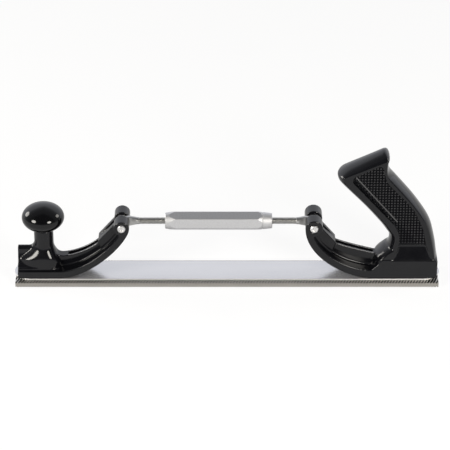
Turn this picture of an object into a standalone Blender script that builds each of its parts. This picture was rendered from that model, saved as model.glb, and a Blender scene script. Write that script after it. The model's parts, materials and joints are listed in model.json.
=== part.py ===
"""A body file: a flexible blade with curved teeth, carried by two cast holders and bowed by a turnbuckle.

Metres. +X runs along the blade towards the rear grip, +Y across it and +Z up.
The origin is the middle of the blade's underside.
"""

import math
from dataclasses import dataclass

import bmesh
import bpy
from mathutils import Matrix, Vector
from mathutils.geometry import interpolate_bezier

# Clearance left between pieces that touch.
GAP = 0.0003

# How finely round shapes are divided.
ROUND_SIDES = 32
FINE_SIDES = 40
ARC_STEP_DEG = 9
CURVE_POINTS = 18
SKIRT_LEVELS = 9

# Blade and the spring plate on its back.
BLADE_LENGTH = 0.350
BLADE_WIDTH = 0.036
BLADE_THICKNESS = 0.0045
BLADE_CORNER = 0.0012
PLATE_OVERHANG = 0.0015
PLATE_MARGIN = 0.0033
PLATE_THICKNESS = 0.0012

# Countersunk screws that hold the blade to the holders.
SCREW_INSET = 0.015
SCREW_DIAMETER = 0.005
SCREW_HEAD_DIAMETER = 0.0095
SCREW_HEAD_HEIGHT = 0.0026
SCREW_SUNK = 0.0004
SCREW_BITE = 0.012

# Pivot pins, and the rods that turn on them.
PIN_DIAMETER = 0.0066
PIN_PROUD = 0.0005
PIN_HEIGHT = 0.0469
ROD_DIAMETER = 0.006
ROD_ENGAGED = 0.022
THREAD_CHAMFER = 0.0008
EYE_THICKNESS = 0.0038
EYE_WALL = 0.0023
EYE_SIDE_GAP = 0.0004
EYE_FLOOR_GAP = 0.0008
NECK_START = 0.009
NECK_LENGTH = 0.004

# Hexagonal turnbuckle barrel.
BARREL_LENGTH = 0.088
BARREL_FLATS = 0.0142
BARREL_SHIFT = 0.0007
BARREL_EDGE_ANGLE = math.radians(36)
CONE_LENGTH = 0.0115
CONE_END_DIAMETER = 0.0132
COLLAR_LENGTH = 0.0079
COLLAR_END_DIAMETER = 0.0125
COLLAR_ROOT_DIAMETER = 0.0141
COLLAR_CHAMFER = 0.006

# Cast arms: a wide flange below, a fork block at the pin and a narrow web behind it.
BLOCK_WIDTH = 0.014
WEB_WIDTH = 0.0086
FLANGE_AT_PIN = 0.0052
BLOCK_SINK = 0.0025
WEB_SINK = 0.0020
SLOT_TAIL = (-0.0015, 0.0018)

# Front foot, its post and the knob.
FRONT_POST_DISTANCE = 0.0217
POST_RADIUS = 0.008
POST_HEIGHT = 0.0399
SKIRT_HEIGHT = 0.027
SKIRT_HALF_LENGTH = 0.0134
SKIRT_HALF_WIDTH = 0.0105
RIDGE_HEIGHT = 0.0237
RIDGE_HALF_WIDTH = 0.0034
RIDGE_EDGE = 0.001
FLANK_HOLLOW = 0.6
KNOB_DIAMETER = 0.035
KNOB_HALF_HEIGHT = 0.01144
STUD_DIAMETER = 0.006
STUD_IN_POST = 0.012
STUD_IN_KNOB = 0.011
INSERT_DIAMETER = 0.009
INSERT_LENGTH = 0.0124

# Rear base block and grip.
BASE_HEIGHT = 0.0167
RAMP_FOOT_DISTANCE = 0.0545
RAMP_LENGTH = 0.0095
GRIP_WIDTH = 0.024

# Values that follow from the sizes above.
PLATE_BOTTOM = BLADE_THICKNESS + GAP
FOOT_Z = PLATE_BOTTOM + PLATE_THICKNESS + GAP
FLEX_Z = BLADE_THICKNESS / 2
PLATE_WIDTH = BLADE_WIDTH - 2 * PLATE_MARGIN
HOLDER_WIDTH = PLATE_WIDTH
PIN_RADIUS = PIN_DIAMETER / 2
PIN_Z = FOOT_Z + PIN_HEIGHT
EYE_RADIUS = PIN_RADIUS + EYE_WALL
SLOT_WIDTH = EYE_THICKNESS + 2 * EYE_SIDE_GAP
SLOT_RADIUS = EYE_RADIUS + EYE_FLOOR_GAP
SCREW_X = BLADE_LENGTH / 2 - SCREW_INSET


@dataclass(frozen=True)
class Arm:
    """One holder's arm. Lengths along u run from the pin towards the holder's own end of the blade."""

    side: int
    end_inset: float
    reach: float
    boss_wall: float
    back_drop: float
    toe: float
    toe_run: float
    flange_at_foot: float
    block_top_start: tuple
    block_top_end: tuple
    block_foot: tuple
    web_start: tuple
    web_start_handle: tuple
    web_end_handle: tuple
    web_end: tuple

    @property
    def end_x(self):
        return self.side * (BLADE_LENGTH / 2 - self.end_inset)

    @property
    def pin_x(self):
        return self.end_x - self.side * self.reach

    @property
    def boss_radius(self):
        return PIN_RADIUS + self.boss_wall

    def below_pin(self, point):
        """A point given as a distance along u and a drop from the pin."""
        return Vector((point[0], PIN_HEIGHT - point[1]))


# The block's points are drops from the pin; the web's end points are heights over the foot.
FRONT_ARM = Arm(
    side=-1,
    end_inset=0.0021,
    reach=0.0865,
    boss_wall=0.0031,
    back_drop=0.011,
    toe=0.0536,
    toe_run=0.030,
    flange_at_foot=0.0062,
    block_top_start=(0.0060, -0.0004),
    block_top_end=(0.0198, 0.0156),
    block_foot=(0.0169, 0.0243),
    web_start=(0.0180, 0.0169),
    web_start_handle=(0.0270, 0.0249),
    web_end_handle=(0.0380, 0.0161),
    web_end=(0.0560, 0.0130),
)
REAR_ARM = Arm(
    side=1,
    end_inset=0.0014,
    reach=0.1022,
    boss_wall=0.0039,
    back_drop=0.024,
    toe=0.0518,
    toe_run=0.029,
    flange_at_foot=0.0076,
    block_top_start=(0.0060, 0.0025),
    block_top_end=(0.0183, 0.0171),
    block_foot=(0.0151, 0.0269),
    web_start=(0.0160, 0.0178),
    web_start_handle=(0.0240, 0.0216),
    web_end_handle=(0.0380, 0.0214),
    web_end=(0.0560, 0.0170),
)


def clear_scene():
    for obj in list(bpy.data.objects):
        bpy.data.objects.remove(obj, do_unlink=True)


def finish(name, colour, roughness, metallic):
    material = bpy.data.materials.new(name)
    material.use_nodes = True
    shader = material.node_tree.nodes["Principled BSDF"]
    shader.inputs["Base Color"].default_value = (*colour, 1.0)
    shader.inputs["Roughness"].default_value = roughness
    shader.inputs["Metallic"].default_value = metallic
    return material


# Outlines, as lists of 2D points.


def curve(start, start_handle, end_handle, end):
    ends = [Vector((*p, 0)) for p in (start, start_handle, end_handle, end)]
    return [p.to_2d() for p in interpolate_bezier(*ends, CURVE_POINTS)]


def arc(centre, radius, start_deg, end_deg):
    steps = math.ceil(abs(end_deg - start_deg) / ARC_STEP_DEG)
    angles = [math.radians(start_deg + (end_deg - start_deg) * i / steps) for i in range(steps + 1)]
    return [Vector((centre[0] + radius * math.cos(a), centre[1] + radius * math.sin(a))) for a in angles]


def set_off(points, first_distance, last_distance):
    """The points moved to their left, by a distance that grows evenly from the first to the last."""
    moved = []
    for i, point in enumerate(points):
        along = (points[min(i + 1, len(points) - 1)] - points[max(i - 1, 0)]).normalized()
        share = i / (len(points) - 1)
        distance = first_distance + share * (last_distance - first_distance)
        moved.append(point + Vector((-along.y, along.x)) * distance)
    return moved


def outer_curve(arm):
    """The arm's underside, from beside the pin down to the foot."""
    top = Vector((-arm.boss_radius, PIN_HEIGHT))
    return curve(top, top - Vector((0, arm.back_drop)), (arm.toe - arm.toe_run, 0), (arm.toe, 0))


def flange_top(arm, to_u):
    """The upper face of the flange, clear of the boss and as far as a place along u."""
    pin = Vector((0, PIN_HEIGHT))
    points = set_off(outer_curve(arm), FLANGE_AT_PIN, arm.flange_at_foot)
    return [p for p in points if (p - pin).length > arm.boss_radius and p.x < to_u]


def frame_outline(arm, foot_points):
    """The full-width part of a holder: boss, flange and foot. foot_points run from the flange to the end."""
    top = flange_top(arm, foot_points[0][0] - GAP)
    pin = Vector((0, PIN_HEIGHT))
    to_flange = top[0] - pin
    flange_angle = math.degrees(math.atan2(to_flange.y, to_flange.x))
    boss = arc(pin, arm.boss_radius, 180, flange_angle)
    return boss + top + [Vector(p) for p in foot_points] + outer_curve(arm)[:0:-1]


def rib_floor(arm, sink, from_u, to_u):
    """A line inside the flange on which the block or the web stands, between two places along u."""
    points = set_off(outer_curve(arm), sink, sink)
    return [p for p in points if p.y < PIN_HEIGHT - arm.boss_radius / 2 and from_u < p.x < to_u]


def block_outline(arm):
    """The fork block, from inside the boss to the step."""
    top = [arm.below_pin(arm.block_top_start), arm.below_pin(arm.block_top_end)]
    foot = arm.below_pin(arm.block_foot)
    floor = rib_floor(arm, BLOCK_SINK, -arm.boss_radius, foot.x - BLOCK_SINK)
    return [Vector((0, PIN_HEIGHT))] + top + [foot] + floor[::-1]


def web_outline(arm):
    """The web, from inside the block to inside the foot."""
    start = arm.below_pin(arm.web_start)
    handle = arm.below_pin(arm.web_start_handle)
    top = curve(start, handle, arm.web_end_handle, arm.web_end)
    floor = rib_floor(arm, WEB_SINK, arm.block_foot[0] - 2 * BLOCK_SINK, arm.toe - WEB_SINK)
    return top + [Vector((arm.web_end[0], WEB_SINK))] + floor[::-1]


def slot_outline(arm):
    """The slot for the rod's eye: round under the pin, open above, running out along the block."""
    high = PIN_HEIGHT + 2 * arm.boss_radius
    clear = 2 * arm.boss_radius
    floor = arc((0, PIN_HEIGHT), SLOT_RADIUS, -90, -45)
    tail = arm.below_pin(arm.block_top_end) + Vector(SLOT_TAIL)
    low_left = Vector((-clear, PIN_HEIGHT - SLOT_RADIUS))
    return [low_left] + floor + [tail, Vector((tail.x, high)), Vector((-clear, high))]


# Solids, in the object's own frame.


def solid_from_faces(bm):
    bmesh.ops.remove_doubles(bm, verts=bm.verts, dist=1e-6)
    bmesh.ops.recalc_face_normals(bm, faces=bm.faces)
    return bm


def prism(outline, depth_low, depth_high, to_world):
    """An outline pulled through a depth. to_world turns a point (a, b, depth) into a place."""
    bm = bmesh.new()
    low = bm.faces.new([bm.verts.new(to_world(p[0], p[1], depth_low)) for p in outline])
    pulled = bmesh.ops.extrude_face_region(bm, geom=[low], use_keep_orig=True)
    shift = to_world(0, 0, depth_high) - to_world(0, 0, depth_low)
    bmesh.ops.translate(bm, vec=shift, verts=[g for g in pulled["geom"] if isinstance(g, bmesh.types.BMVert)])
    return solid_from_faces(bm)


def beside_pin(arm):
    """Places points given as (u, height over the foot, depth across)."""
    return lambda u, height, depth: Vector((arm.pin_x + arm.side * u, depth, FOOT_Z + height))


def from_above(a, b, depth):
    return Vector((a, b, depth))


def holder_prism(arm, outline, width):
    return prism(outline, -width / 2, width / 2, beside_pin(arm))


def rounded_ring(half_a, half_b, squareness):
    """A ring of points, an ellipse at squareness 2 and squarer above."""
    ring = []
    for i in range(ROUND_SIDES):
        angle = 2 * math.pi * i / ROUND_SIDES
        a = math.copysign(abs(math.cos(angle)) ** (2 / squareness), math.cos(angle))
        b = math.copysign(abs(math.sin(angle)) ** (2 / squareness), math.sin(angle))
        ring.append(Vector((a * half_a, b * half_b)))
    return ring


def lofted(rings):
    """A skin through rings of points, closed at both ends."""
    bm = bmesh.new()
    loops = [[bm.verts.new(p) for p in ring] for ring in rings]
    for lower, upper in zip(loops, loops[1:]):
        for i in range(len(lower)):
            bm.faces.new((lower[i], lower[i - 1], upper[i - 1], upper[i]))
    bm.faces.new(loops[0])
    bm.faces.new(loops[-1])
    return solid_from_faces(bm)


def turned(profile, sides=ROUND_SIDES):
    """A profile of (radius, height) points turned about Z, from axis to axis or closed on itself."""
    bm = bmesh.new()
    verts = [bm.verts.new((radius, 0, height)) for radius, height in profile]
    edges = [bm.edges.new(pair) for pair in zip(verts, verts[1:])]
    if profile[0][0] > 0:
        edges.append(bm.edges.new((verts[-1], verts[0])))
    full_turn = {"angle": 2 * math.pi, "steps": sides, "use_merge": True}
    bmesh.ops.spin(bm, geom=verts + edges, cent=(0, 0, 0), axis=(0, 0, 1), **full_turn)
    return solid_from_faces(bm)


def rod_shape(radius, low, high, chamfer=0.0):
    """A round bar about Z, its ends chamfered."""
    ends = [(0, low), (radius - chamfer, low), (radius, low + chamfer)]
    ends += [(radius, high - chamfer), (radius - chamfer, high), (0, high)]
    if not chamfer:
        ends = [(0, low), (radius, low), (radius, high), (0, high)]
    return turned(ends)


def laid_along(bm, axis, place):
    """Turns a shape made about Z to lie along X or Y, and puts it in place."""
    turn = {"X": Matrix.Rotation(math.pi / 2, 4, "Y"), "Y": Matrix.Rotation(-math.pi / 2, 4, "X")}
    if axis in turn:
        bm.transform(turn[axis])
    bm.transform(Matrix.Translation(place))
    return bm


# Objects.


def piece(name, bm, material, origin, parent=None):
    """A named object whose origin is the given place."""
    origin = Vector(origin)
    bm.transform(Matrix.Translation(-origin))
    mesh = bpy.data.meshes.new(name)
    bm.to_mesh(mesh)
    bm.free()
    mesh.shade_smooth()
    mesh.set_sharp_from_angle(angle=math.radians(35))
    if material:
        mesh.materials.append(material)
    obj = bpy.data.objects.new(name, mesh)
    obj.location = origin - (parent.location if parent else Vector())
    obj.parent = parent
    bpy.context.collection.objects.link(obj)
    return obj


def axis_empty(name, place):
    empty = bpy.data.objects.new(name, None)
    empty.location = place
    empty.empty_display_size = 0.01
    bpy.context.collection.objects.link(empty)
    return empty


def combine(target, bm, operation, label):
    """Joins a shape to an object, cuts it out, or keeps what they share."""
    origin = target.location + (target.parent.location if target.parent else Vector())
    helper = piece(f"{target.name}_{label}", bm, None, origin, target.parent)
    helper.hide_render = True
    helper.display_type = "WIRE"
    modifier = target.modifiers.new(label, "BOOLEAN")
    modifier.operation = operation
    modifier.solver = "EXACT"
    modifier.object = helper


def make_blade(material):
    half_x = BLADE_LENGTH / 2
    half_y = BLADE_WIDTH / 2
    outline = []
    for sign_x, sign_y, start in ((1, 1, 0), (-1, 1, 90), (-1, -1, 180), (1, -1, 270)):
        centre = (sign_x * (half_x - BLADE_CORNER), sign_y * (half_y - BLADE_CORNER))
        outline += arc(centre, BLADE_CORNER, start, start + 90)
    blade = piece("file_blade", prism(outline, 0, BLADE_THICKNESS, from_above), material, (0, 0, 0))
    hole = SCREW_DIAMETER / 2 + GAP
    mouth = SCREW_HEAD_DIAMETER / 2 + GAP
    for label, x in (("front_hole", -SCREW_X), ("rear_hole", SCREW_X)):
        seat = SCREW_SUNK + SCREW_HEAD_HEIGHT
        through = BLADE_THICKNESS + GAP
        profile = [(0, -GAP), (mouth, -GAP), (mouth, SCREW_SUNK), (hole, seat), (hole, through), (0, through)]
        combine(blade, laid_along(turned(profile), "Z", (x, 0, 0)), "DIFFERENCE", label)
    return blade


def make_plate(material):
    radius = PLATE_WIDTH / 2
    centre_x = BLADE_LENGTH / 2 + PLATE_OVERHANG - radius
    outline = arc((centre_x, 0), radius, -90, 90) + arc((-centre_x, 0), radius, 90, 270)
    shape = prism(outline, PLATE_BOTTOM, PLATE_BOTTOM + PLATE_THICKNESS, from_above)
    plate = piece("backing_plate", shape, material, (0, 0, 0))
    for label, x in (("front_hole", -SCREW_X), ("rear_hole", SCREW_X)):
        hole = rod_shape(SCREW_DIAMETER / 2 + GAP, PLATE_BOTTOM - GAP, FOOT_Z)
        combine(plate, laid_along(hole, "Z", (x, 0, 0)), "DIFFERENCE", label)
    return plate


def make_screw(name, x, material, origin, parent):
    radius = SCREW_DIAMETER / 2
    seat = SCREW_SUNK + SCREW_HEAD_HEIGHT
    tip = FOOT_Z + SCREW_BITE
    profile = [(0, SCREW_SUNK), (SCREW_HEAD_DIAMETER / 2, SCREW_SUNK), (radius, seat)]
    profile += [(radius, tip - radius / 2), (radius / 2, tip), (0, tip)]
    shape = laid_along(turned(profile), "Z", (x, 0, 0))
    return piece(name, shape, material, origin, parent)


def fork_and_holes(casting, arm):
    """Adds the fork block and the web, then cuts the slot, the pin's bore and the screw's blind hole."""
    combine(casting, holder_prism(arm, block_outline(arm), BLOCK_WIDTH), "UNION", "block")
    combine(casting, holder_prism(arm, web_outline(arm), WEB_WIDTH), "UNION", "web")
    combine(casting, holder_prism(arm, slot_outline(arm), SLOT_WIDTH), "DIFFERENCE", "slot")
    bore = rod_shape(PIN_RADIUS + GAP, -HOLDER_WIDTH, HOLDER_WIDTH)
    combine(casting, laid_along(bore, "Y", (arm.pin_x, 0, PIN_Z)), "DIFFERENCE", "pin_bore")
    hole = rod_shape(SCREW_DIAMETER / 2 + GAP, FOOT_Z - GAP, FOOT_Z + SCREW_BITE + GAP)
    combine(casting, laid_along(hole, "Z", (arm.side * SCREW_X, 0, 0)), "DIFFERENCE", "screw_hole")


def post_and_skirt(post_x):
    """The post and the flare at its root: square-cornered low down, round at the top."""
    low = FOOT_Z + FRONT_ARM.flange_at_foot / 2
    rings = []
    for level in range(SKIRT_LEVELS + 1):
        share = level / SKIRT_LEVELS
        flare = (1 - share) ** 2
        half_x = POST_RADIUS + flare * (SKIRT_HALF_LENGTH - POST_RADIUS)
        half_y = POST_RADIUS + flare * (SKIRT_HALF_WIDTH - POST_RADIUS)
        height = low + share * SKIRT_HEIGHT
        ring = rounded_ring(half_x, half_y, 2 + 2 * flare)
        rings.append([Vector((post_x + p.x, p.y, height)) for p in ring])
    rings.append([Vector((p.x, p.y, FOOT_Z + POST_HEIGHT)) for p in rings[-1]])
    return lofted(rings)


def ridge(post_x):
    """The hollow-flanked ridge from the post to the front end."""
    flange = FRONT_ARM.flange_at_foot
    bottom = Vector((SKIRT_HALF_WIDTH, flange))
    top = Vector((RIDGE_HALF_WIDTH, RIDGE_HEIGHT - RIDGE_EDGE))
    corner = Vector((RIDGE_HALF_WIDTH, flange))
    flank = curve(bottom, bottom.lerp(corner, FLANK_HOLLOW), top.lerp(corner, FLANK_HOLLOW), top)
    crest = Vector((RIDGE_HALF_WIDTH - RIDGE_EDGE, RIDGE_HEIGHT))
    half = [Vector((SKIRT_HALF_WIDTH, flange / 3))] + flank + [crest]
    outline = half + [Vector((-p.x, p.y)) for p in reversed(half)]
    place = lambda across, height, x: Vector((x, across, FOOT_Z + height))
    return prism(outline, FRONT_ARM.end_x, post_x, place)


def make_front_casting(material, origin, parent, post_x):
    arm = FRONT_ARM
    foot = [(arm.toe, arm.flange_at_foot), (arm.reach, arm.flange_at_foot), (arm.reach, 0)]
    frame = holder_prism(arm, frame_outline(arm, foot), HOLDER_WIDTH)
    casting = piece("front_casting", frame, material, origin, parent)
    combine(casting, post_and_skirt(post_x), "UNION", "post")
    combine(casting, ridge(post_x), "UNION", "ridge")
    fork_and_holes(casting, arm)
    post_top = FOOT_Z + POST_HEIGHT
    hole = rod_shape(STUD_DIAMETER / 2 + GAP, post_top - STUD_IN_POST - GAP, post_top + GAP)
    combine(casting, laid_along(hole, "Z", (post_x, 0, 0)), "DIFFERENCE", "stud_hole")
    return casting


def grip():
    """The pistol grip, lofted through sections from the base to the cap.

    A section runs from its finger end to its palm end, each given as a distance forward of the rear end
    and a height over the foot. Its share is its thickness as a part of the grip's width.
    """
    sections = [
        ((0.0540, 0.0080), (0.0004, 0.0060), 1.00, 2.4),
        ((0.0520, 0.0175), (0.0004, 0.0140), 1.00, 2.4),
        ((0.0462, 0.0233), (0.0008, 0.0200), 1.00, 2.6),
        ((0.0416, 0.0265), (0.0016, 0.0265), 1.00, 2.8),
        ((0.0390, 0.0315), (0.0026, 0.0320), 1.00, 3.0),
        ((0.0393, 0.0375), (0.0044, 0.0400), 1.00, 3.0),
        ((0.0419, 0.0417), (0.0064, 0.0470), 1.00, 3.0),
        ((0.0473, 0.0493), (0.0103, 0.0556), 1.00, 3.0),
        ((0.0600, 0.0644), (0.0196, 0.0700), 1.00, 3.0),
        ((0.0742, 0.0794), (0.0330, 0.0862), 0.98, 3.0),
        ((0.0795, 0.0846), (0.0394, 0.0925), 0.98, 2.8),
        ((0.0828, 0.0895), (0.0423, 0.0990), 1.02, 2.6),
        ((0.0829, 0.0925), (0.0421, 0.1045), 1.04, 2.5),
        ((0.0812, 0.0955), (0.0420, 0.1090), 0.98, 2.4),
        ((0.0780, 0.0980), (0.0430, 0.1118), 0.80, 2.3),
        ((0.0740, 0.1003), (0.0455, 0.1136), 0.50, 2.2),
    ]
    rings = []
    for finger, palm, share, squareness in sections:
        finger_end = Vector((REAR_ARM.end_x - finger[0], 0, FOOT_Z + finger[1]))
        palm_end = Vector((REAR_ARM.end_x - palm[0], 0, FOOT_Z + palm[1]))
        middle = (finger_end + palm_end) / 2
        half = (palm_end - finger_end) / 2
        ring = rounded_ring(1.0, share * GRIP_WIDTH / 2, squareness)
        rings.append([middle + half * p.x + Vector((0, p.y, 0)) for p in ring])
    return lofted(rings)


def make_rear_casting(material, origin, parent):
    arm = REAR_ARM
    ramp_foot = arm.reach - RAMP_FOOT_DISTANCE
    foot = [(ramp_foot, arm.flange_at_foot), (ramp_foot + RAMP_LENGTH, BASE_HEIGHT)]
    foot += [(arm.reach, BASE_HEIGHT), (arm.reach, 0)]
    frame = holder_prism(arm, frame_outline(arm, foot), HOLDER_WIDTH)
    casting = piece("rear_casting", frame, material, origin, parent)
    combine(casting, grip(), "UNION", "grip")
    fork_and_holes(casting, arm)
    return casting


def make_knob(materials, origin, parent, post_x):
    """The knob, the threaded insert moulded into it and the stud it is screwed on."""
    base = FOOT_Z + POST_HEIGHT + GAP
    radius = KNOB_DIAMETER / 2
    base_angle = math.degrees(-math.acos(POST_RADIUS / radius))
    centre = base - KNOB_HALF_HEIGHT * math.sin(math.radians(base_angle))
    round_side = arc((0, 0), 1, base_angle, 90)
    bore = INSERT_DIAMETER / 2 + GAP
    floor = base + INSERT_LENGTH + 2 * GAP
    profile = [(0, floor), (bore, floor), (bore, base)]
    profile += [(p.x * radius, centre + p.y * KNOB_HALF_HEIGHT) for p in round_side[:-1]]
    profile.append((0, centre + KNOB_HALF_HEIGHT))
    ball = laid_along(turned(profile, FINE_SIDES), "Z", (post_x, 0, 0))
    piece("front_knob", ball, materials["plastic"], origin, parent)
    inner = STUD_DIAMETER / 2 + GAP
    outer = INSERT_DIAMETER / 2
    low = base + GAP
    high = low + INSERT_LENGTH
    tube = turned([(inner, low), (outer, low), (outer, high), (inner, high)])
    piece("knob_insert", laid_along(tube, "Z", (post_x, 0, 0)), materials["brass"], origin, parent)
    post_top = FOOT_Z + POST_HEIGHT
    stud = rod_shape(STUD_DIAMETER / 2, post_top - STUD_IN_POST, base + STUD_IN_KNOB, THREAD_CHAMFER)
    piece("knob_stud", laid_along(stud, "Z", (post_x, 0, 0)), materials["steel"], origin, parent)


def make_pin(name, arm, material, origin, parent):
    half = HOLDER_WIDTH / 2 + PIN_PROUD
    shape = laid_along(rod_shape(PIN_RADIUS, -half, half, PIN_PROUD), "Y", (arm.pin_x, 0, PIN_Z))
    return piece(name, shape, material, origin, parent)


def barrel_ends():
    """The X of the barrel's front and rear ends. It hangs midway between the pins, shifted a little."""
    middle = (FRONT_ARM.pin_x + REAR_ARM.pin_x) / 2 + BARREL_SHIFT
    return middle - BARREL_LENGTH / 2, middle + BARREL_LENGTH / 2


def make_rod_end(name, arm, barrel_end, material):
    """A threaded rod with a flattened eye on the pin. Its inner end sits in the barrel."""
    radius = ROD_DIAMETER / 2
    length = abs(arm.pin_x - barrel_end) + ROD_ENGAGED
    neck_end = NECK_START + NECK_LENGTH
    pin = Vector((arm.pin_x, 0, PIN_Z))
    spread = math.degrees(math.acos((EYE_RADIUS - radius) / neck_end))
    outline = arc((0, PIN_HEIGHT), EYE_RADIUS, 180 - spread, spread - 180)
    for drop in (GAP - radius, radius - GAP):
        outline.append(Vector((-neck_end, PIN_HEIGHT + drop)))
    rod = piece(name, prism(outline, -EYE_THICKNESS / 2, EYE_THICKNESS / 2, beside_pin(arm)), material, pin)
    profile = [(0, NECK_START), (EYE_THICKNESS / 2 - GAP, NECK_START), (radius, neck_end)]
    profile += [(radius, length - THREAD_CHAMFER), (radius - THREAD_CHAMFER, length), (0, length)]
    bar = laid_along(turned(profile), "X", (0, 0, 0))
    if arm.side > 0:
        bar.transform(Matrix.Rotation(math.pi, 4, "Z"))
    bar.transform(Matrix.Translation(pin))
    combine(rod, bar, "UNION", "bar")
    bore = laid_along(rod_shape(PIN_RADIUS + GAP, -EYE_THICKNESS, EYE_THICKNESS), "Y", pin)
    combine(rod, bore, "DIFFERENCE", "eye_bore")
    return rod


def make_barrel(material):
    front, rear = barrel_ends()
    middle = Vector(((front + rear) / 2, 0, PIN_Z))
    corner = BARREL_FLATS / math.sqrt(3)
    hexagon = []
    for i in range(6):
        angle = BARREL_EDGE_ANGLE + math.pi * i / 3
        hexagon.append(Vector((-corner * math.cos(angle), corner * math.sin(angle))))
    place = lambda across, height, x: Vector((x, across, PIN_Z + height))
    barrel = piece("turnbuckle_barrel", prism(hexagon, front, rear, place), material, middle)
    half = BARREL_LENGTH / 2
    full = corner + GAP
    profile = [(0, -half - GAP), (CONE_END_DIAMETER / 2, -half - GAP), (full, CONE_LENGTH - half)]
    collar = half - COLLAR_LENGTH
    profile += [(full, collar - COLLAR_CHAMFER), (COLLAR_ROOT_DIAMETER / 2, collar)]
    profile += [(COLLAR_END_DIAMETER / 2, half + GAP), (0, half + GAP)]
    combine(barrel, laid_along(turned(profile, FINE_SIDES), "X", middle), "INTERSECT", "turned_ends")
    bore = laid_along(rod_shape(ROD_DIAMETER / 2 + GAP, -half - 2 * GAP, half + 2 * GAP), "X", middle)
    combine(barrel, bore, "DIFFERENCE", "bore")
    return barrel


def main():
    clear_scene()
    enamel = finish("black_enamel", (0.014, 0.014, 0.016), 0.28, 0.0)
    materials = {
        "plastic": finish("black_plastic", (0.008, 0.008, 0.009), 0.12, 0.0),
        "brass": finish("insert_brass", (0.62, 0.44, 0.17), 0.35, 1.0),
        "steel": finish("zinc_steel", (0.58, 0.57, 0.55), 0.35, 1.0),
    }
    make_blade(finish("blade_steel", (0.40, 0.38, 0.35), 0.45, 1.0))
    make_plate(finish("plate_steel", (0.72, 0.72, 0.74), 0.40, 1.0))
    front_axis = axis_empty("front_flex_axis", Vector((FRONT_ARM.pin_x, 0, FLEX_Z)))
    rear_axis = axis_empty("rear_flex_axis", Vector((REAR_ARM.pin_x, 0, FLEX_Z)))
    front = (front_axis.location, front_axis)
    rear = (rear_axis.location, rear_axis)
    post_x = FRONT_ARM.end_x + FRONT_POST_DISTANCE
    make_front_casting(enamel, *front, post_x)
    make_rear_casting(enamel, *rear)
    make_knob(materials, *front, post_x)
    bright = finish("pin_steel", (0.80, 0.79, 0.77), 0.25, 1.0)
    make_pin("front_pivot_pin", FRONT_ARM, bright, *front)
    make_pin("rear_pivot_pin", REAR_ARM, bright, *rear)
    make_screw("front_blade_screw", -SCREW_X, materials["steel"], *front)
    make_screw("rear_blade_screw", SCREW_X, materials["steel"], *rear)
    front_end, rear_end = barrel_ends()
    rod_steel = finish("rod_steel", (0.50, 0.48, 0.45), 0.38, 1.0)
    make_rod_end("front_rod_end", FRONT_ARM, front_end, rod_steel)
    make_rod_end("rear_rod_end", REAR_ARM, rear_end, rod_steel)
    make_barrel(finish("barrel_steel", (0.70, 0.70, 0.71), 0.42, 1.0))


main()
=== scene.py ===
import json
import math

import bmesh
import bpy
from mathutils import Matrix, Vector
from mathutils.geometry import interpolate_bezier


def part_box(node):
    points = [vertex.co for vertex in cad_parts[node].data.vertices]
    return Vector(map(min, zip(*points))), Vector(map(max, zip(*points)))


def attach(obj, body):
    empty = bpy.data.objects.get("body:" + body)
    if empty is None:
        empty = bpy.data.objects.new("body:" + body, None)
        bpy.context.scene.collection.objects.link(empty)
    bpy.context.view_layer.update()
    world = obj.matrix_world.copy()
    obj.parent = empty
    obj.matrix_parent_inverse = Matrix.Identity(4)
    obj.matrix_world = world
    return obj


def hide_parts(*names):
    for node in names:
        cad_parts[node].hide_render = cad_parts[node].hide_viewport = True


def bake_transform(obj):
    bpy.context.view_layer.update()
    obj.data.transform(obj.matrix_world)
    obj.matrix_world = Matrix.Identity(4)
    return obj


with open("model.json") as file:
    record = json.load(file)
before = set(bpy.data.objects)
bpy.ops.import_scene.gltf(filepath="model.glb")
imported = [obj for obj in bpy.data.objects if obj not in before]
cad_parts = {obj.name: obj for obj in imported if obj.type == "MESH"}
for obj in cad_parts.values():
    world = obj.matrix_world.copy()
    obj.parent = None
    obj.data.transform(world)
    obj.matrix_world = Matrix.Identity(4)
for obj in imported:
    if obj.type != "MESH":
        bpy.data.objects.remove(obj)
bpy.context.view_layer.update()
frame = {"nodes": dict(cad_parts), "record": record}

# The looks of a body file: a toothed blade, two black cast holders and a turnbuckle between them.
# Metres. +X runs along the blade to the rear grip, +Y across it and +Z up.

# Places read from the frame.
BLADE_LOW, BLADE_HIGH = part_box("file_blade")
PLATE_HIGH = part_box("backing_plate")[1]
BARREL_LOW, BARREL_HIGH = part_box("turnbuckle_barrel")
KNOB_LOW, KNOB_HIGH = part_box("front_knob")
FRONT_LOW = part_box("front_casting")[0]
REAR_LOW, REAR_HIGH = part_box("rear_casting")
PIVOTS = {joint["name"]: Vector(joint["pos_m"]) for joint in frame["record"]["behaviour"]["joints"]}
FRONT_PIN = PIVOTS["front_pivot"]
REAR_PIN = PIVOTS["rear_pivot"]
SIDES = (("front", -1, FRONT_PIN), ("rear", 1, REAR_PIN))
FOOT_Z = REAR_LOW.z
PIN_HEIGHT = REAR_PIN.z - FOOT_Z
HALF_HOLDER = REAR_HIGH.y
REAR_END = REAR_HIGH.x
FRONT_END = FRONT_LOW.x

# The camera of the photograph.
VIEW_TARGET = Vector((-0.0016, 0, 0.0490))
VIEW_DISTANCE = 2.0
VIEW_ELEVATION = math.radians(30)
VIEW_LENS = 194.3

# Blade and its teeth. A tooth's outline is given in shares of its pitch and of its depth.
TEETH = 146
TOOTH_DEPTH = 0.0010
TOOTH_OUTLINE = ((0, 0), (0.07, 0.9), (0.16, 1.0), (0.38, 0.8), (0.58, 0), (1, 0))
TOOTH_ARC_RADIUS = 0.044
TOOTH_ROWS = 22
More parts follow.
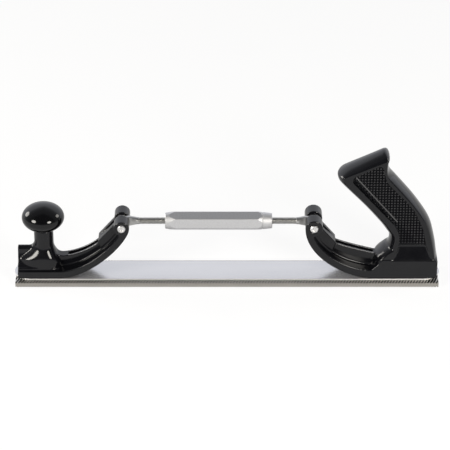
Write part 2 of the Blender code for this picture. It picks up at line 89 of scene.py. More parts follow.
# Down to which share of that depth a face is a land, painted as a highlight, or a gullet, painted as shade,
# and how squarely it has to face.
LAND_SUNK = 0.05
GULLET_SUNK = 1.01
SQUARE_ON = 0.9
BLADE_CORNER = 0.0008
SPLIT_X = (FRONT_PIN.x + REAR_PIN.x) / 2
BEND_REACH = 0.045
BEND_CUT = 0.003
PLATE_CLEARANCE = 0.00005
PLATE_EDGE_ROUND = 0.0004
SCREW_X = 0.160
SCREW_HOLE = 0.0028
SCREW_MOUTH = 0.0051
SCREW_MOUTH_EDGE = 0.0004
SCREW_SEAT = 0.0030

# Castings.
FRONT_VOXEL = 0.0005
REAR_VOXEL = 0.0006
SKIN_PASSES = 3
BLOCK_HALF = 0.007
WEB_HALF = 0.0043
SLOT_HALF = 0.0023
SLOT_RADIUS = 0.0064
SLOT_TAIL = Vector((-0.0015, 0.0018))
PIN_RADIUS = 0.0033
BORE_ROOM = 0.0003
FLANGE_AT_PIN = 0.0052
FLANGE_GAP = 0.0003

# When points touch, how far a cutter stands out, and a length that goes through any thin piece.
TOUCHING = 1e-6
STAND_OUT = 0.001
THROUGH = 0.01


# Modelling by hand.


def object_mode():
    if bpy.context.mode != "OBJECT":
        bpy.ops.object.mode_set(mode="OBJECT")


def clear_selection():
    object_mode()
    bpy.ops.object.select_all(action="DESELECT")


def pick(*objects):
    """Selects these objects alone, the first one active."""
    clear_selection()
    for obj in objects:
        obj.select_set(True)
    bpy.context.view_layer.objects.active = objects[0]


def edit(obj, kind="VERT"):
    """Opens an object for editing with everything selected."""
    pick(obj)
    bpy.ops.object.mode_set(mode="EDIT")
    bpy.ops.mesh.select_mode(type=kind)
    bpy.ops.mesh.select_all(action="SELECT")


def choose(obj, kind, wanted):
    """Opens an object with only those edges or faces selected for which wanted(it) holds."""
    edit(obj, kind)
    bpy.ops.mesh.select_all(action="DESELECT")
    bm = bmesh.from_edit_mesh(obj.data)
    for part in bm.edges if kind == "EDGE" else bm.faces:
        part.select_set(bool(wanted(part)))
    bmesh.update_edit_mesh(obj.data)
    return bm


def closed(obj):
    """Turns all faces of the closed piece being edited outwards and ends the edit."""
    bpy.ops.mesh.select_all(action="SELECT")
    bpy.ops.mesh.normals_make_consistent(inside=False)
    if bmesh.from_edit_mesh(obj.data).calc_volume(signed=True) < 0:
        bpy.ops.mesh.flip_normals()
    object_mode()
    return obj


def ring(name, points):
    """A loop of edges: a circle whose points are moved to the given places."""
    clear_selection()
    bpy.ops.mesh.primitive_circle_add(vertices=len(points), fill_type="NOTHING")
    obj = bpy.context.active_object
    obj.name = name
    for vert, place in zip(obj.data.vertices, points):
        vert.co = place
    return obj


def slab(name, outline, shift):
    """A filled outline pulled along a shift."""
    obj = ring(name, outline)
    edit(obj)
    bpy.ops.mesh.edge_face_add()
    bpy.ops.mesh.extrude_region_move(TRANSFORM_OT_translate={"value": shift})
    return closed(obj)


def key_of(place):
    return tuple(round(value, 7) for value in place)


def skin(name, rings):
    """A skin pulled from ring to ring, its ends filled."""
    obj = ring(name, rings[0])
    edit(obj)
    for before, after in zip(rings, rings[1:]):
        order = {key_of(Vector(place)): Vector(target) for place, target in zip(before, after)}
        bpy.ops.mesh.extrude_edges_move()
        bm = bmesh.from_edit_mesh(obj.data)
        for vert in bm.verts:
            if vert.select:
                vert.co = order[key_of(vert.co)]
        bmesh.update_edit_mesh(obj.data)
    bpy.ops.mesh.select_all(action="SELECT")
    bpy.ops.mesh.fill_holes(sides=0)
    return closed(obj)


def turned(name, profile, axis, centre, sides):
    """A profile of (radius, along) points turned about an axis through a centre."""
    axis = Vector(axis)
    centre = Vector(centre)
    out = Vector((0, 0, 1)) if abs(axis.z) < 0.5 else Vector((1, 0, 0))
    obj = ring(name, [centre + out * radius + axis * along for radius, along in profile])

    def on_axis(edge):
        return all((vert.co - centre).cross(axis).length < TOUCHING for vert in edge.verts)

    if any(edge.select for edge in choose(obj, "EDGE", on_axis).edges):
        bpy.ops.mesh.delete(type="EDGE")
    bpy.ops.mesh.select_all(action="SELECT")
    bpy.ops.mesh.spin(steps=sides, angle=2 * math.pi, center=centre, axis=axis)
    bpy.ops.mesh.select_all(action="SELECT")
    bpy.ops.mesh.remove_doubles(threshold=TOUCHING)
    return closed(obj)


def drill(name, radius, low, high, axis, centre, sides):
    """A plain round cutter along an axis."""
    return turned(name, [(0, low), (radius, low), (radius, high), (0, high)], axis, centre, sides)


def modify(obj, kind, **settings):
    """Puts a modifier with these settings on a piece and applies it."""
    modifier = obj.modifiers.new("change", kind)
    for name, value in settings.items():
        setattr(modifier, name, value)
    pick(obj)
    bpy.ops.object.modifier_apply(modifier=modifier.name)


def lay_on(obj, materials):
    """Gives a piece its finishes, in the order of its faces' own numbers."""
    numbers = [face.material_index for face in obj.data.polygons]
    obj.data.materials.clear()
    for material in materials:
        obj.data.materials.append(material)
    obj.data.polygons.foreach_set("material_index", numbers)


def carve(obj, tool, operation="DIFFERENCE"):
    """Cuts a tool out of a piece, joins it or keeps what they share, and throws the tool away."""
    modify(obj, "BOOLEAN", operation=operation, solver="MANIFOLD", object=tool)
    bpy.data.objects.remove(tool)
    return obj


def joined(name, *objects):
    pick(*objects)
    bpy.ops.object.join()
    objects[0].name = name
    return objects[0]


def cast(obj, voxel):
    """Fuses overlapping shapes into one skin with the soft edges and fillets of a casting."""
    modify(obj, "REMESH", mode="VOXEL", voxel_size=voxel)
    modify(obj, "SMOOTH", factor=0.5, iterations=SKIN_PASSES)
    return obj


def bevel_edges(obj, width, chosen, segments=3):
    """Rounds the edges for which chosen(edge) holds."""
    choose(obj, "EDGE", chosen)
    bpy.ops.mesh.bevel(offset=width, segments=segments, affect="EDGES")
    object_mode()


def sharp(edge, angle=math.radians(40)):
    return len(edge.link_faces) == 2 and edge.calc_face_angle() > angle


def done(obj, materials, body, replaced=(), smooth_deg=35):
    """Gives a piece its finishes, its smooth shading and its body."""
    lay_on(obj, materials)
    pick(obj)
    bpy.ops.object.shade_smooth_by_angle(angle=math.radians(smooth_deg))
    if replaced:
        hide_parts(*replaced)
    if body:
        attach(obj, body)
    return obj


# Outlines.


def bezier(start, start_handle, end_handle, end, points=48):
    ends = [Vector((*p, 0)) for p in (start, start_handle, end_handle, end)]
    return [p.to_2d() for p in interpolate_bezier(*ends, points)]


def arc(centre, radius, start_deg, end_deg, step_deg=5):
    steps = max(2, round(abs(end_deg - start_deg) / step_deg))
    angles = [math.radians(start_deg + (end_deg - start_deg) * i / steps) for i in range(steps + 1)]
    return [Vector((centre[0] + radius * math.cos(a), centre[1] + radius * math.sin(a))) for a in angles]


def through(points, share):
    """A place on the smooth curve through a list of points, share running from 0 to the last index."""
    i = min(int(share), len(points) - 2)
    t = share - i
    before = points[max(i - 1, 0)]
    after = points[min(i + 2, len(points) - 1)]
    a, b = points[i], points[i + 1]
    bend = 2 * before - 5 * a + 4 * b - after
    turn = 3 * (a - b) + after - before
    return a + 0.5 * (t * (b - before) + t * t * bend + t ** 3 * turn)


def set_off(points, first_distance, last_distance):
    """The points moved to their left by a distance that grows evenly."""
    moved = []
    for i, point in enumerate(points):
        along = (points[min(i + 1, len(points) - 1)] - points[max(i - 1, 0)]).normalized()
        share = i / (len(points) - 1)
        distance = first_distance + share * (last_distance - first_distance)
        moved.append(point + Vector((-along.y, along.x)) * distance)
    return moved


# Finishes. The numbers of a Mix node's colour sockets, and two ways to stretch a pattern.
MIX_FIRST, MIX_SECOND, MIX_RESULT = 6, 7, 2
ALONG_X = (0.02, 1, 1)
EVEN = (1, 1, 1)


def feed(tree, socket, value):
    """Links an output to a socket, or sets a plain value on it."""
    if isinstance(value, bpy.types.NodeSocket):
        tree.links.new(value, socket)
    else:
        socket.default_value = value


def add(tree, kind, **values):
    """The outputs of a new shader node, its inputs fed by name with _ for a space."""
    made = tree.nodes.new(kind)
    for name, value in values.items():
        feed(tree, made.inputs[name.replace("_", " ")], value)
    return made.outputs


def reckon(tree, operation, *values, kind="ShaderNodeMath"):
    """What a Math node makes of some values."""
    made = tree.nodes.new(kind)
    made.operation = operation
    for socket, value in zip(made.inputs, values):
        feed(tree, socket, value)
    return made.outputs[0]


def mixed(tree, factor, first, second):
    """A colour between two others."""
    made = tree.nodes.new("ShaderNodeMix")
    made.data_type = "RGBA"
    feed(tree, made.inputs["Factor"], factor)
    feed(tree, made.inputs[MIX_FIRST], first)
    feed(tree, made.inputs[MIX_SECOND], second)
    return made.outputs[MIX_RESULT]


def pattern_group():
    """Noise on the piece's own coordinates: a height for bumps and a mask for tone."""
    group = bpy.data.node_groups.new("surface_pattern", "ShaderNodeTree")
    for name, kind in (("Scale", "Float"), ("Stretch", "Vector"), ("Contrast", "Float")):
        group.interface.new_socket(name, in_out="INPUT", socket_type="NodeSocket" + kind)
    for name in ("Height", "Mask"):
        group.interface.new_socket(name, in_out="OUTPUT", socket_type="NodeSocketFloat")
    given = group.nodes.new("NodeGroupInput").outputs
    result = group.nodes.new("NodeGroupOutput").inputs
    place = add(group, "ShaderNodeTexCoord")["Object"]
    stretched = reckon(group, "MULTIPLY", place, given["Stretch"], kind="ShaderNodeVectorMath")
    noise = add(
        group, "ShaderNodeTexNoise", Vector=stretched, Scale=given["Scale"], Detail=5.0, Roughness=0.55,
    )["Fac"]
    low = reckon(group, "SUBTRACT", 0.5, given["Contrast"])
    high = reckon(group, "ADD", 0.5, given["Contrast"])
    mask = add(group, "ShaderNodeMapRange", Value=noise, From_Min=low, From_Max=high)
    feed(group, result["Height"], noise)
    feed(group, result["Mask"], mask["Result"])
    return group


PATTERN = pattern_group()


def place_pattern(tree, scale, stretch, contrast=0.25):
    made = tree.nodes.new("ShaderNodeGroup")
    made.node_tree = PATTERN
    for name, value in (("Scale", scale), ("Stretch", stretch), ("Contrast", contrast)):
        made.inputs[name].default_value = value
    return made.outputs


def surface(name, light, deep, metallic, roughness, tone, bump, ior=1.5):
    """A finish whose colour, roughness and bumps come from two patterns.

    light and deep are the colours it varies between, roughness its two ends. tone is a pattern's scale,
    stretch and contrast, and bump a scale, a stretch and a depth in metres.
    """
    made = bpy.data.materials.new(name)
    made.use_nodes = True
    tree = made.node_tree
    shader = tree.nodes["Principled BSDF"].inputs
    shader["Metallic"].default_value = metallic
    shader["IOR"].default_value = ior
    tones = place_pattern(tree, *tone)["Mask"]
    feed(tree, shader["Base Color"], mixed(tree, tones, (*light, 1), (*deep, 1)))
    rough = add(tree, "ShaderNodeMapRange", Value=tones, To_Min=roughness[0], To_Max=roughness[1])
    feed(tree, shader["Roughness"], rough["Result"])
    scale, stretch, depth = bump
    bumps = place_pattern(tree, scale, stretch)["Height"]
    raised = add(tree, "ShaderNodeBump", Height=bumps, Strength=1.0, Distance=depth)
    feed(tree, shader["Normal"], raised["Normal"])
    return made


ENAMEL = surface(
    "gloss_black_enamel", (0.0040, 0.0041, 0.0054), (0.0056, 0.0058, 0.0074), 0.0, (0.10, 0.16),
    (90, EVEN, 0.2), (420, EVEN, 0.00003), 1.45,
)
# Lighter enamel: a painted sheen on the tops of the checkering's studs.
STUD_SHEEN_ENAMEL = surface(
    "enamel_painted_stud_sheen", (0.026, 0.026, 0.028), (0.018, 0.018, 0.020), 0.0, (0.30, 0.40),
    (300, EVEN, 0.2), (900, EVEN, 0.00001), 1.45,
)
# Lighter enamel: a painted highlight along the rims beside the channel.
RIM_HIGHLIGHT_ENAMEL = surface(
    "enamel_painted_rim_highlight", (0.17, 0.17, 0.175), (0.11, 0.11, 0.114), 0.0, (0.20, 0.30),
    (200, EVEN, 0.2), (420, EVEN, 0.00002), 1.8,
)
# Lighter enamel: a painted highlight along the rib on the panel's crease.
RIB_HIGHLIGHT_ENAMEL = surface(
    "enamel_painted_rib_highlight", (0.085, 0.085, 0.088), (0.050, 0.050, 0.052), 0.0, (0.24, 0.34),
    (200, EVEN, 0.2), (420, EVEN, 0.00002), 1.6,
)
KNOB_BLACK = surface(
    "polished_black_plastic", (0.0015, 0.0015, 0.0018), (0.0025, 0.0025, 0.003), 0.0, (0.06, 0.09),
    (60, EVEN, 0.2), (150, EVEN, 0.00001), 1.45,
)
PLATE_STEEL = surface(
    "satin_spring_plate", (0.79, 0.79, 0.81), (0.74, 0.74, 0.76), 0.74, (0.20, 0.27),
    (30, (0.2, 1, 1), 0.25), (2500, ALONG_X, 0.000004),
)
# Near-white, rougher steel on the plate's sheared edges: a painted highlight for the bright line along the
# edge.
PLATE_EDGE = surface(
    "sheared_edge_painted_highlight", (0.96, 0.95, 0.94), (0.88, 0.87, 0.86), 1.0, (0.50, 0.62),
    (400, (1, 1, 0.2), 0.25), (2500, (1, 1, 0.1), 0.00001),
)
BLADE_STEEL = surface(
    "ground_file_steel", (0.50, 0.475, 0.435), (0.43, 0.41, 0.375), 1.0, (0.36, 0.48),
    (300, (0.3, 1, 1), 0.25), (3000, ALONG_X, 0.000008),
)
# Near-black steel: painted shade in the gullets between the teeth.
GULLET_SHADE_STEEL = surface(
    "steel_painted_gullet_shade", (0.020, 0.018, 0.017), (0.012, 0.011, 0.010), 1.0, (0.45, 0.6),
    (400, EVEN, 0.25), (1500, EVEN, 0.00001),
)
# Lighter steel: a painted highlight on the flat lands of the teeth.
LAND_HIGHLIGHT_STEEL = surface(
    "steel_painted_land_highlight", (0.74, 0.73, 0.70), (0.66, 0.65, 0.62), 1.0, (0.40, 0.50),
    (400, EVEN, 0.25), (2500, EVEN, 0.000006),
)
BARREL_ZINC = surface(
    "frosted_zinc", (0.81, 0.81, 0.82), (0.69, 0.69, 0.70), 1.0, (0.41, 0.50),
    (1400, EVEN, 0.2), (1800, EVEN, 0.00002),
)
# Darker, rougher zinc on the turned ends: painted shade that dims the lamps' glint on the collar and cone.
SHADED_END_ZINC = surface(
    "zinc_ends_painted_shade", (0.76, 0.76, 0.77), (0.65, 0.65, 0.66), 1.0, (0.52, 0.60),
    (1400, EVEN, 0.2), (1800, EVEN, 0.00002),
)
ROD_STEEL = surface(
    "plated_thread_steel", (0.66, 0.655, 0.64), (0.52, 0.515, 0.50), 1.0, (0.28, 0.38),
    (500, EVEN, 0.25), (2500, EVEN, 0.00001),
)
PIN_STEEL = surface(
    "bright_pin_steel", (0.96, 0.95, 0.94), (0.92, 0.91, 0.90), 1.0, (0.30, 0.36),
    (600, EVEN, 0.25), (2500, EVEN, 0.00001),
)
SCREW_ZINC = surface(
    "screw_zinc", (0.62, 0.61, 0.58), (0.52, 0.51, 0.48), 1.0, (0.28, 0.40),
    (500, EVEN, 0.25), (2500, EVEN, 0.00001),
)
INSERT_BRASS = surface(
    "insert_brass", (0.66, 0.47, 0.19), (0.56, 0.39, 0.15), 1.0, (0.25, 0.40),
    (500, EVEN, 0.25), (2500, EVEN, 0.00001),
)


# The blade, in two halves, front and rear.


def tooth_bow(y):
    """How far a curved tooth runs ahead of its ends at a place across the blade."""
    return math.sqrt(TOOTH_ARC_RADIUS ** 2 - y * y) - math.sqrt(TOOTH_ARC_RADIUS ** 2 - BLADE_HIGH.y ** 2)


def tooth_ring(y, pitch):
    """One tooth's outline at a place across the blade, over its top and back under it."""
    places = [(tooth_bow(y) + share * pitch, depth * TOOTH_DEPTH) for share, depth in TOOTH_OUTLINE]
    upper = [Vector((x, y, BLADE_HIGH.z - sunk)) for x, sunk in places]
    lower = [Vector((x, y, sunk)) for x, sunk in reversed(places)]
    return upper + lower


def between_teeth(face):
    heights = [vert.co.z for vert in face.verts]
    return max(heights) - min(heights) > BLADE_HIGH.z / 2 and abs(face.normal.y) < SQUARE_ON


def tooth_finish(face):
    """The number of a face's finish: 0 on plain steel, 1 for painted shade in a gullet and 2 for a painted
    highlight on a land.
    """
    centre = face.calc_center_median()
    sunk = min(centre.z, BLADE_HIGH.z - centre.z) / TOOTH_DEPTH
    if sunk < LAND_SUNK and abs(face.normal.z) > SQUARE_ON:
        return 2
    return int(sunk < GULLET_SUNK and abs(face.normal.y) < SQUARE_ON)


def toothed_bar(name, start_x, count, pitch):
    """Teeth side by side from start_x on, the walls between them taken out."""
    half_width = BLADE_HIGH.y
    rows = [-half_width + 2 * half_width * i / TOOTH_ROWS for i in range(TOOTH_ROWS + 1)]
    bar = skin(name, [tooth_ring(y, pitch) for y in rows])
    # Faces get their finish before the walls between the teeth go: painted shade in the gullets, a painted
    # highlight on the lands.
    for face in choose(bar, "FACE", between_teeth).faces:
        face.material_index = tooth_finish(face)
    bpy.ops.mesh.delete(type="FACE")
    object_mode()
    bar.data.transform(Matrix.Translation((start_x, 0, 0)))
    modify(
        bar, "ARRAY", count=count, use_relative_offset=False, use_constant_offset=True,
        constant_offset_displace=(pitch, 0, 0), use_merge_vertices=True, merge_threshold=TOUCHING,
    )
    edit(bar)
    bpy.ops.mesh.fill_holes(sides=0)
    return closed(bar)


def blade_outline(side):
    """Half the blade seen from above, its outer corners a little round."""
    end = side * BLADE_HIGH.x
    half = BLADE_HIGH.y
    inner = end - side * BLADE_CORNER
    corner = half - BLADE_CORNER
    points = [Vector((SPLIT_X, -2 * half)), Vector((inner, -2 * half)), Vector((inner, -half))]
    turn = arc((inner, -corner), BLADE_CORNER, -90, 0 if side > 0 else -180, 15)
    points += turn[1:] + [Vector((p.x, -p.y)) for p in reversed(turn[1:])]
    points += [Vector((inner, half)), Vector((inner, 2 * half)), Vector((SPLIT_X, 2 * half))]
    return points


def make_blade(word, side):
    pitch = (BLADE_HIGH.x - BLADE_LOW.x) / TEETH
    low = min(SPLIT_X, side * BLADE_HIGH.x) - tooth_bow(0)
    high = max(SPLIT_X, side * BLADE_HIGH.x) + tooth_bow(0)
    start = math.floor(low / pitch) * pitch
    count = math.ceil((high - start) / pitch) + 1
    bar = toothed_bar(f"{word}_file_teeth", start, count, pitch)
    finishes = [BLADE_STEEL, GULLET_SHADE_STEEL, LAND_HIGHLIGHT_STEEL]
    lay_on(bar, finishes)
    depth = 2 * BLADE_HIGH.z
    outline = [Vector((p.x, p.y, -BLADE_HIGH.z / 2)) for p in blade_outline(side)]
    carve(bar, slab("blade_end", outline, (0, 0, depth)), "INTERSECT")
    sunk = [(0, -STAND_OUT), (SCREW_MOUTH, -STAND_OUT), (SCREW_MOUTH, SCREW_MOUTH_EDGE)]
    sunk += [(SCREW_HOLE, SCREW_SEAT), (SCREW_HOLE, depth), (0, depth)]
    carve(bar, turned("hole", sunk, (0, 0, 1), (side * SCREW_X, 0, 0), sides=32))
    return bend(bar, finishes, word, side, "blade_steel", "file_blade", smooth_deg=35)


def bend(obj, materials, word, side, slot, node, smooth_deg):
    """Gives a half of the blade or the plate its finishes and shading, hides the frame's piece and bakes
    its place.
    """
    done(obj, materials, None, [node], smooth_deg)
    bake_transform(obj)
    return obj


def on_split(edge):
    return all(abs(vert.co.x - SPLIT_X) < TOUCHING for vert in edge.verts)


def make_plate(word, side):
    """Half the spring plate, cut across where it bends."""
    radius = PLATE_HIGH.y
    centre_x = side * (PLATE_HIGH.x - radius)
    outline = [Vector((SPLIT_X, -radius))]
    outline += arc((centre_x, 0), radius, -90, 90 if side > 0 else -270, step_deg=4)
    outline.append(Vector((SPLIT_X, radius)))
    underside = BLADE_HIGH.z + PLATE_CLEARANCE
    low = [Vector((p.x, p.y, underside)) for p in outline]
    plate = slab(f"{word}_spring_plate", low, (0, 0, PLATE_HIGH.z - underside))
    bevel_edges(plate, PLATE_EDGE_ROUND, lambda edge: sharp(edge) and not on_split(edge), segments=2)
    carve(plate, drill("hole", SCREW_HOLE, 0, THROUGH, (0, 0, 1), (side * SCREW_X, 0, 0), sides=32))
    hinge = PIVOTS[f"{word}_flex"].x
    cuts = round(BEND_REACH / BEND_CUT)
    edit(plate)
    for step in range(-cuts, cuts + 1):
        bpy.ops.mesh.select_all(action="SELECT")
        bpy.ops.mesh.bisect(plane_co=(hinge + step * BEND_CUT, 0, 0), plane_no=(1, 0, 0))
    object_mode()
    for face in plate.data.polygons:
        # Edge faces get the painted highlight and the flat faces the plate steel.
        face.material_index = int(abs(face.normal.z) < 0.5)
    return bend(plate, [PLATE_STEEL, PLATE_EDGE], word, side, "plate_steel", "backing_plate", smooth_deg=15)


# The castings.


class Arm:
    """One holder's arm. u runs from the pin towards the holder's own end, h up from the foot."""

    def __init__(self, side, pin, end, **sizes):
        self.side = side
        self.pin = pin
        self.reach = abs(end - pin.x)
        self.__dict__.update(sizes)

    def at(self, u, h, y):
        return Vector((self.pin.x + self.side * u, y, FOOT_Z + h))

    def underside(self):
        top = Vector((-self.boss, PIN_HEIGHT))
        return bezier(top, top - Vector((0, self.back_drop)), (self.toe - self.toe_run, 0), (self.toe, 0))

    def across(self, name, outline, half):
        """An outline in u and h pulled across the holder."""
        return slab(name, [self.at(p[0], p[1], -half) for p in outline], (0, 2 * half, 0))


FRONT = Arm(
    -1, FRONT_PIN, FRONT_END, boss=0.0064, back_drop=0.011, toe=0.0536, toe_run=0.030, flange=0.0062,
    block=((0.0060, -0.0004), (0.0198, 0.0156), (0.0169, 0.0243)),
    web=((0.0180, 0.0169), (0.0270, 0.0249)), web_end=((0.0380, 0.0168), (0.0491, 0.0157)),
    web_fillet=0.0077, web_stop=0.0600, channel_end=0.0450,
)
REAR = Arm(
    1, REAR_PIN, REAR_END, boss=0.0072, back_drop=0.024, toe=0.0518, toe_run=0.029, flange=0.0076,
    block=((0.0060, 0.0025), (0.0183, 0.0171), (0.0151, 0.0269)),
    web=((0.0160, 0.0178), (0.0240, 0.0216)), web_end=((0.0380, 0.0214), (0.0560, 0.0170)),
    web_fillet=0, web_stop=0.0560, channel_end=0.0500,
)
BLOCK_SINK = 0.0025
WEB_SINK = 0.0020
CHANNEL_HALF = 0.0024
CHANNEL_DEPTH = 0.0045
CHANNEL_LEAD = 0.001
# The rims' painted highlight: how far past the block it starts, how far up a face has to look, and how far
# it keeps from the rims' edges.
RIM_LEAD = 0.002
RIM_LEVEL = 0.5
RIM_EDGE = 0.0001


def below_pin(point):
    return Vector((point[0], PIN_HEIGHT - point[1]))


def slot_cutter(arm):
    """The slot that takes the rod's eye."""
    high = PIN_HEIGHT + 2 * arm.boss
    clear = 2 * arm.boss
    floor = arc((0, PIN_HEIGHT), SLOT_RADIUS, -90, -45)
    tail = below_pin(arm.block[1]) + SLOT_TAIL
    outline = [Vector((-clear, PIN_HEIGHT - SLOT_RADIUS))] + floor
    outline += [tail, Vector((tail.x, high)), Vector((-clear, high))]
    return arm.across("slot", outline, SLOT_HALF)


def bore_cutter(arm):
    long = 2 * HALF_HOLDER
    return drill("bore", PIN_RADIUS + BORE_ROOM, -long, long, (0, 1, 0), arm.pin, sides=48)


def channel_cutter(arm, web_top):
    """The channel along the top of the web."""
    start = arm.block[1][0] - CHANNEL_LEAD
    run = [p for p in web_top if start < p.x < arm.channel_end]
    above = [p + Vector((0, CHANNEL_DEPTH)) for p in run]
    below = [p - Vector((0, CHANNEL_DEPTH)) for p in reversed(run)]
    return arm.across("channel", above + below, CHANNEL_HALF)


def arm_shapes(arm, foot):
    """Boss, flange and foot, then the fork block and the web, with the slot and the pin's bore cut."""
    under = arm.underside()
    pin = Vector((0, PIN_HEIGHT))
    top = set_off(under, FLANGE_AT_PIN, arm.flange)
    top = [p for p in top if (p - pin).length > arm.boss and p.x < foot[0][0] - FLANGE_GAP]
    lead = top[0] - pin
    boss = arc(pin, arm.boss, 180, math.degrees(math.atan2(lead.y, lead.x)))
    outline = boss + top + [Vector(p) for p in foot] + under[:0:-1]
    frame_shape = arm.across("arm_frame", outline, HALF_HOLDER)
    block_foot = below_pin(arm.block[2])
    inside = set_off(under, BLOCK_SINK, BLOCK_SINK)
    floor = [p for p in inside if p.y < PIN_HEIGHT - arm.boss / 2 and p.x < block_foot.x - BLOCK_SINK]
    outline = [pin, below_pin(arm.block[0]), below_pin(arm.block[1]), block_foot] + floor[::-1]
    block = arm.across("arm_block", outline, BLOCK_HALF)
    inside = set_off(under, WEB_SINK, WEB_SINK)
    floor = [p for p in inside if block_foot.x - 2 * BLOCK_SINK < p.x < arm.toe - WEB_SINK]
    outline = bezier(below_pin(arm.web[0]), below_pin(arm.web[1]), *arm.web_end)
    channel = channel_cutter(arm, outline)
    if arm.web_fillet:
        end = Vector(arm.web_end[1])
        outline += arc((end.x, end.y + arm.web_fillet), arm.web_fillet, -90, 0)[1:]
    outline += [Vector((arm.web_stop, outline[-1].y)), Vector((arm.web_stop, WEB_SINK))] + floor[::-1]
    web = carve(arm.across("arm_web", outline, WEB_HALF), channel)
    for shape in (frame_shape, block):
        carve(shape, slot_cutter(arm))
        carve(shape, bore_cutter(arm))
    return [frame_shape, block, web]


def paint_rim_highlights(casting, arm):
    """Paints a highlight in lighter enamel on the up-facing faces of the two rims beside the channel."""
    start = arm.block[1][0] + RIM_LEAD
    for face in casting.data.polygons:
        u = arm.side * (face.center.x - arm.pin.x)
        along = start < u < arm.channel_end and face.center.z < arm.pin.z
        across = CHANNEL_HALF + RIM_EDGE < abs(face.center.y) < WEB_HALF - RIM_EDGE
        # Up-facing rim faces get the painted highlight.
        face.material_index = int(along and across and face.normal.z > RIM_LEVEL)


# Front foot: post, bell and ridge. Heights are over the foot, and a squareness of 2 is round.
POST_X = (KNOB_LOW.x + KNOB_HIGH.x) / 2
POST_RADIUS = 0.008
POST_HEIGHT = 0.0399
BELL_LEVELS = 40
BELL_LOW = 0.0031
BELL_TOP = 0.0262
BELL_WIDE_AT = 0.0140
BELL_WIDER = 0.0038
BELL_LONG_AT = 0.0120
BELL_LONGER = 0.0062
BELL_FLARE = 1.6
BELL_LEAN = 0.033
ROUND = 2
BELL_SQUARER = 0.7
SKIRT_AT = 0.0140
SKIRT_LONGER = 0.0143
SKIRT_FLARE = 1.5
RIDGE_HEIGHT = 0.0237
RIDGE_HALF = 0.0034
RIDGE_CREST_HALF = 0.0008
RIDGE_CREST_DROP = 0.0017
RIDGE_FILLET = 0.0045
RIDGE_FOOT_HALF = 0.0120
RIDGE_FOOT_HEIGHT = 0.0080
RIDGE_HOLLOW = 0.42
RIDGE_RINGS = 30
VALLEY_AT_POST = 0.0004
VALLEY_AT_END = 0.0014


def smooth_step(share):
    share = min(max(share, 0), 1)
    return share * share * (3 - 2 * share)


def bell_size(height):
    """The bell's half length, half width and squareness at a height."""
    longer = min(max(BELL_TOP - height, 0) / (BELL_TOP - BELL_LONG_AT), 1) ** BELL_FLARE
    wider = 1 - smooth_step((height - BELL_WIDE_AT) / (BELL_TOP - BELL_WIDE_AT))
    lean = BELL_LEAN * max(BELL_WIDE_AT - height, 0)
    half_y = POST_RADIUS + BELL_WIDER * wider + lean
    return POST_RADIUS + BELL_LONGER * longer, half_y, ROUND + BELL_SQUARER * wider


def squared_ring(half_a, half_b, squareness, count=72):
    points = []
    for i in range(count):
        angle = 2 * math.pi * i / count
        a = math.copysign(abs(math.cos(angle)) ** (2 / squareness), math.cos(angle))
        b = math.copysign(abs(math.sin(angle)) ** (2 / squareness), math.sin(angle))
        points.append((a * half_a, b * half_b))
    return points


def post_and_bell():
    """A round post that flares smoothly into a bell, round towards the front end and squarer behind."""
    rings = []
    for level in range(BELL_LEVELS + 1):
        height = BELL_LOW + (BELL_TOP - BELL_LOW) * level / BELL_LEVELS
        half_x, half_y, squareness = bell_size(height)
        rounded = squared_ring(half_x, half_y, ROUND)
        squared = squared_ring(half_x, half_y, squareness)
        around = [back if back[0] > 0 else front for front, back in zip(rounded, squared)]
        rings.append([Vector((POST_X + a, b, FOOT_Z + height)) for a, b in around])
    rings.append([Vector((p.x, p.y, FOOT_Z + POST_HEIGHT)) for p in rings[-1]])
    return skin("post", rings)


def skirt_side(x, height):
    """How far out the bell's skirt towards the front end lies at a place, less than nothing beyond it."""
    down = min(max((BELL_TOP - height) / (BELL_TOP - SKIRT_AT), 0), 1)
    half_x = POST_RADIUS + SKIRT_LONGER * down ** SKIRT_FLARE
    share = (POST_X - x) / half_x
    return bell_size(height)[1] * math.sqrt(1 - share * share) if share < 1 else half_x * (1 - share)


def filleted(a, b, reach):
    """The larger of two values, rounded off where they come within a reach of each other."""
    return max(a, b) + max(reach - abs(a - b), 0) ** 2 / (4 * reach)


def ridge():
    """The hollow-sided ridge from the front end, rising into the post and spreading into the bell."""
    fillet_start = POST_X - POST_RADIUS - RIDGE_FILLET
    foot = Vector((RIDGE_FOOT_HALF, RIDGE_FOOT_HEIGHT))
    rings = []
    for i in range(RIDGE_RINGS + 1):
        x = FRONT_END + (POST_X - FRONT_END) * i / RIDGE_RINGS
        valley = VALLEY_AT_END + (VALLEY_AT_POST - VALLEY_AT_END) * i / RIDGE_RINGS
        into = min(max((x - fillet_start) / RIDGE_FILLET, 0), 1)
        top = RIDGE_HEIGHT + RIDGE_FILLET * (1 - math.sqrt(1 - into ** 2))
        crest = Vector((RIDGE_HALF, top - RIDGE_CREST_DROP))
        corner = Vector((RIDGE_HALF, RIDGE_FOOT_HEIGHT))
        low, high = foot.lerp(corner, RIDGE_HOLLOW), crest.lerp(corner, RIDGE_HOLLOW)
        half = bezier(foot, low, high, crest, points=24)
        for point in half:
            point.x = filleted(point.x, skirt_side(x, point.y), valley)
        half = [Vector((RIDGE_FOOT_HALF, FRONT.flange / 3))] + half + [Vector((RIDGE_CREST_HALF, top))]
        outline = half + [Vector((-p.x, p.y)) for p in reversed(half)]
        rings.append([Vector((x, p.x, FOOT_Z + p.y)) for p in outline])
    return skin("ridge", rings)


CAST_FINISHES = [ENAMEL, RIM_HIGHLIGHT_ENAMEL]


def make_front_casting():
    foot = [(FRONT.toe, FRONT.flange), (FRONT.reach, FRONT.flange), (FRONT.reach, 0)]
    shapes = arm_shapes(FRONT, foot) + [post_and_bell(), ridge()]
    casting = cast(joined("front_cast_holder", *shapes), FRONT_VOXEL)
    paint_rim_highlights(casting, FRONT)
    return done(casting, CAST_FINISHES, "front_holder", ["front_casting"], smooth_deg=60)


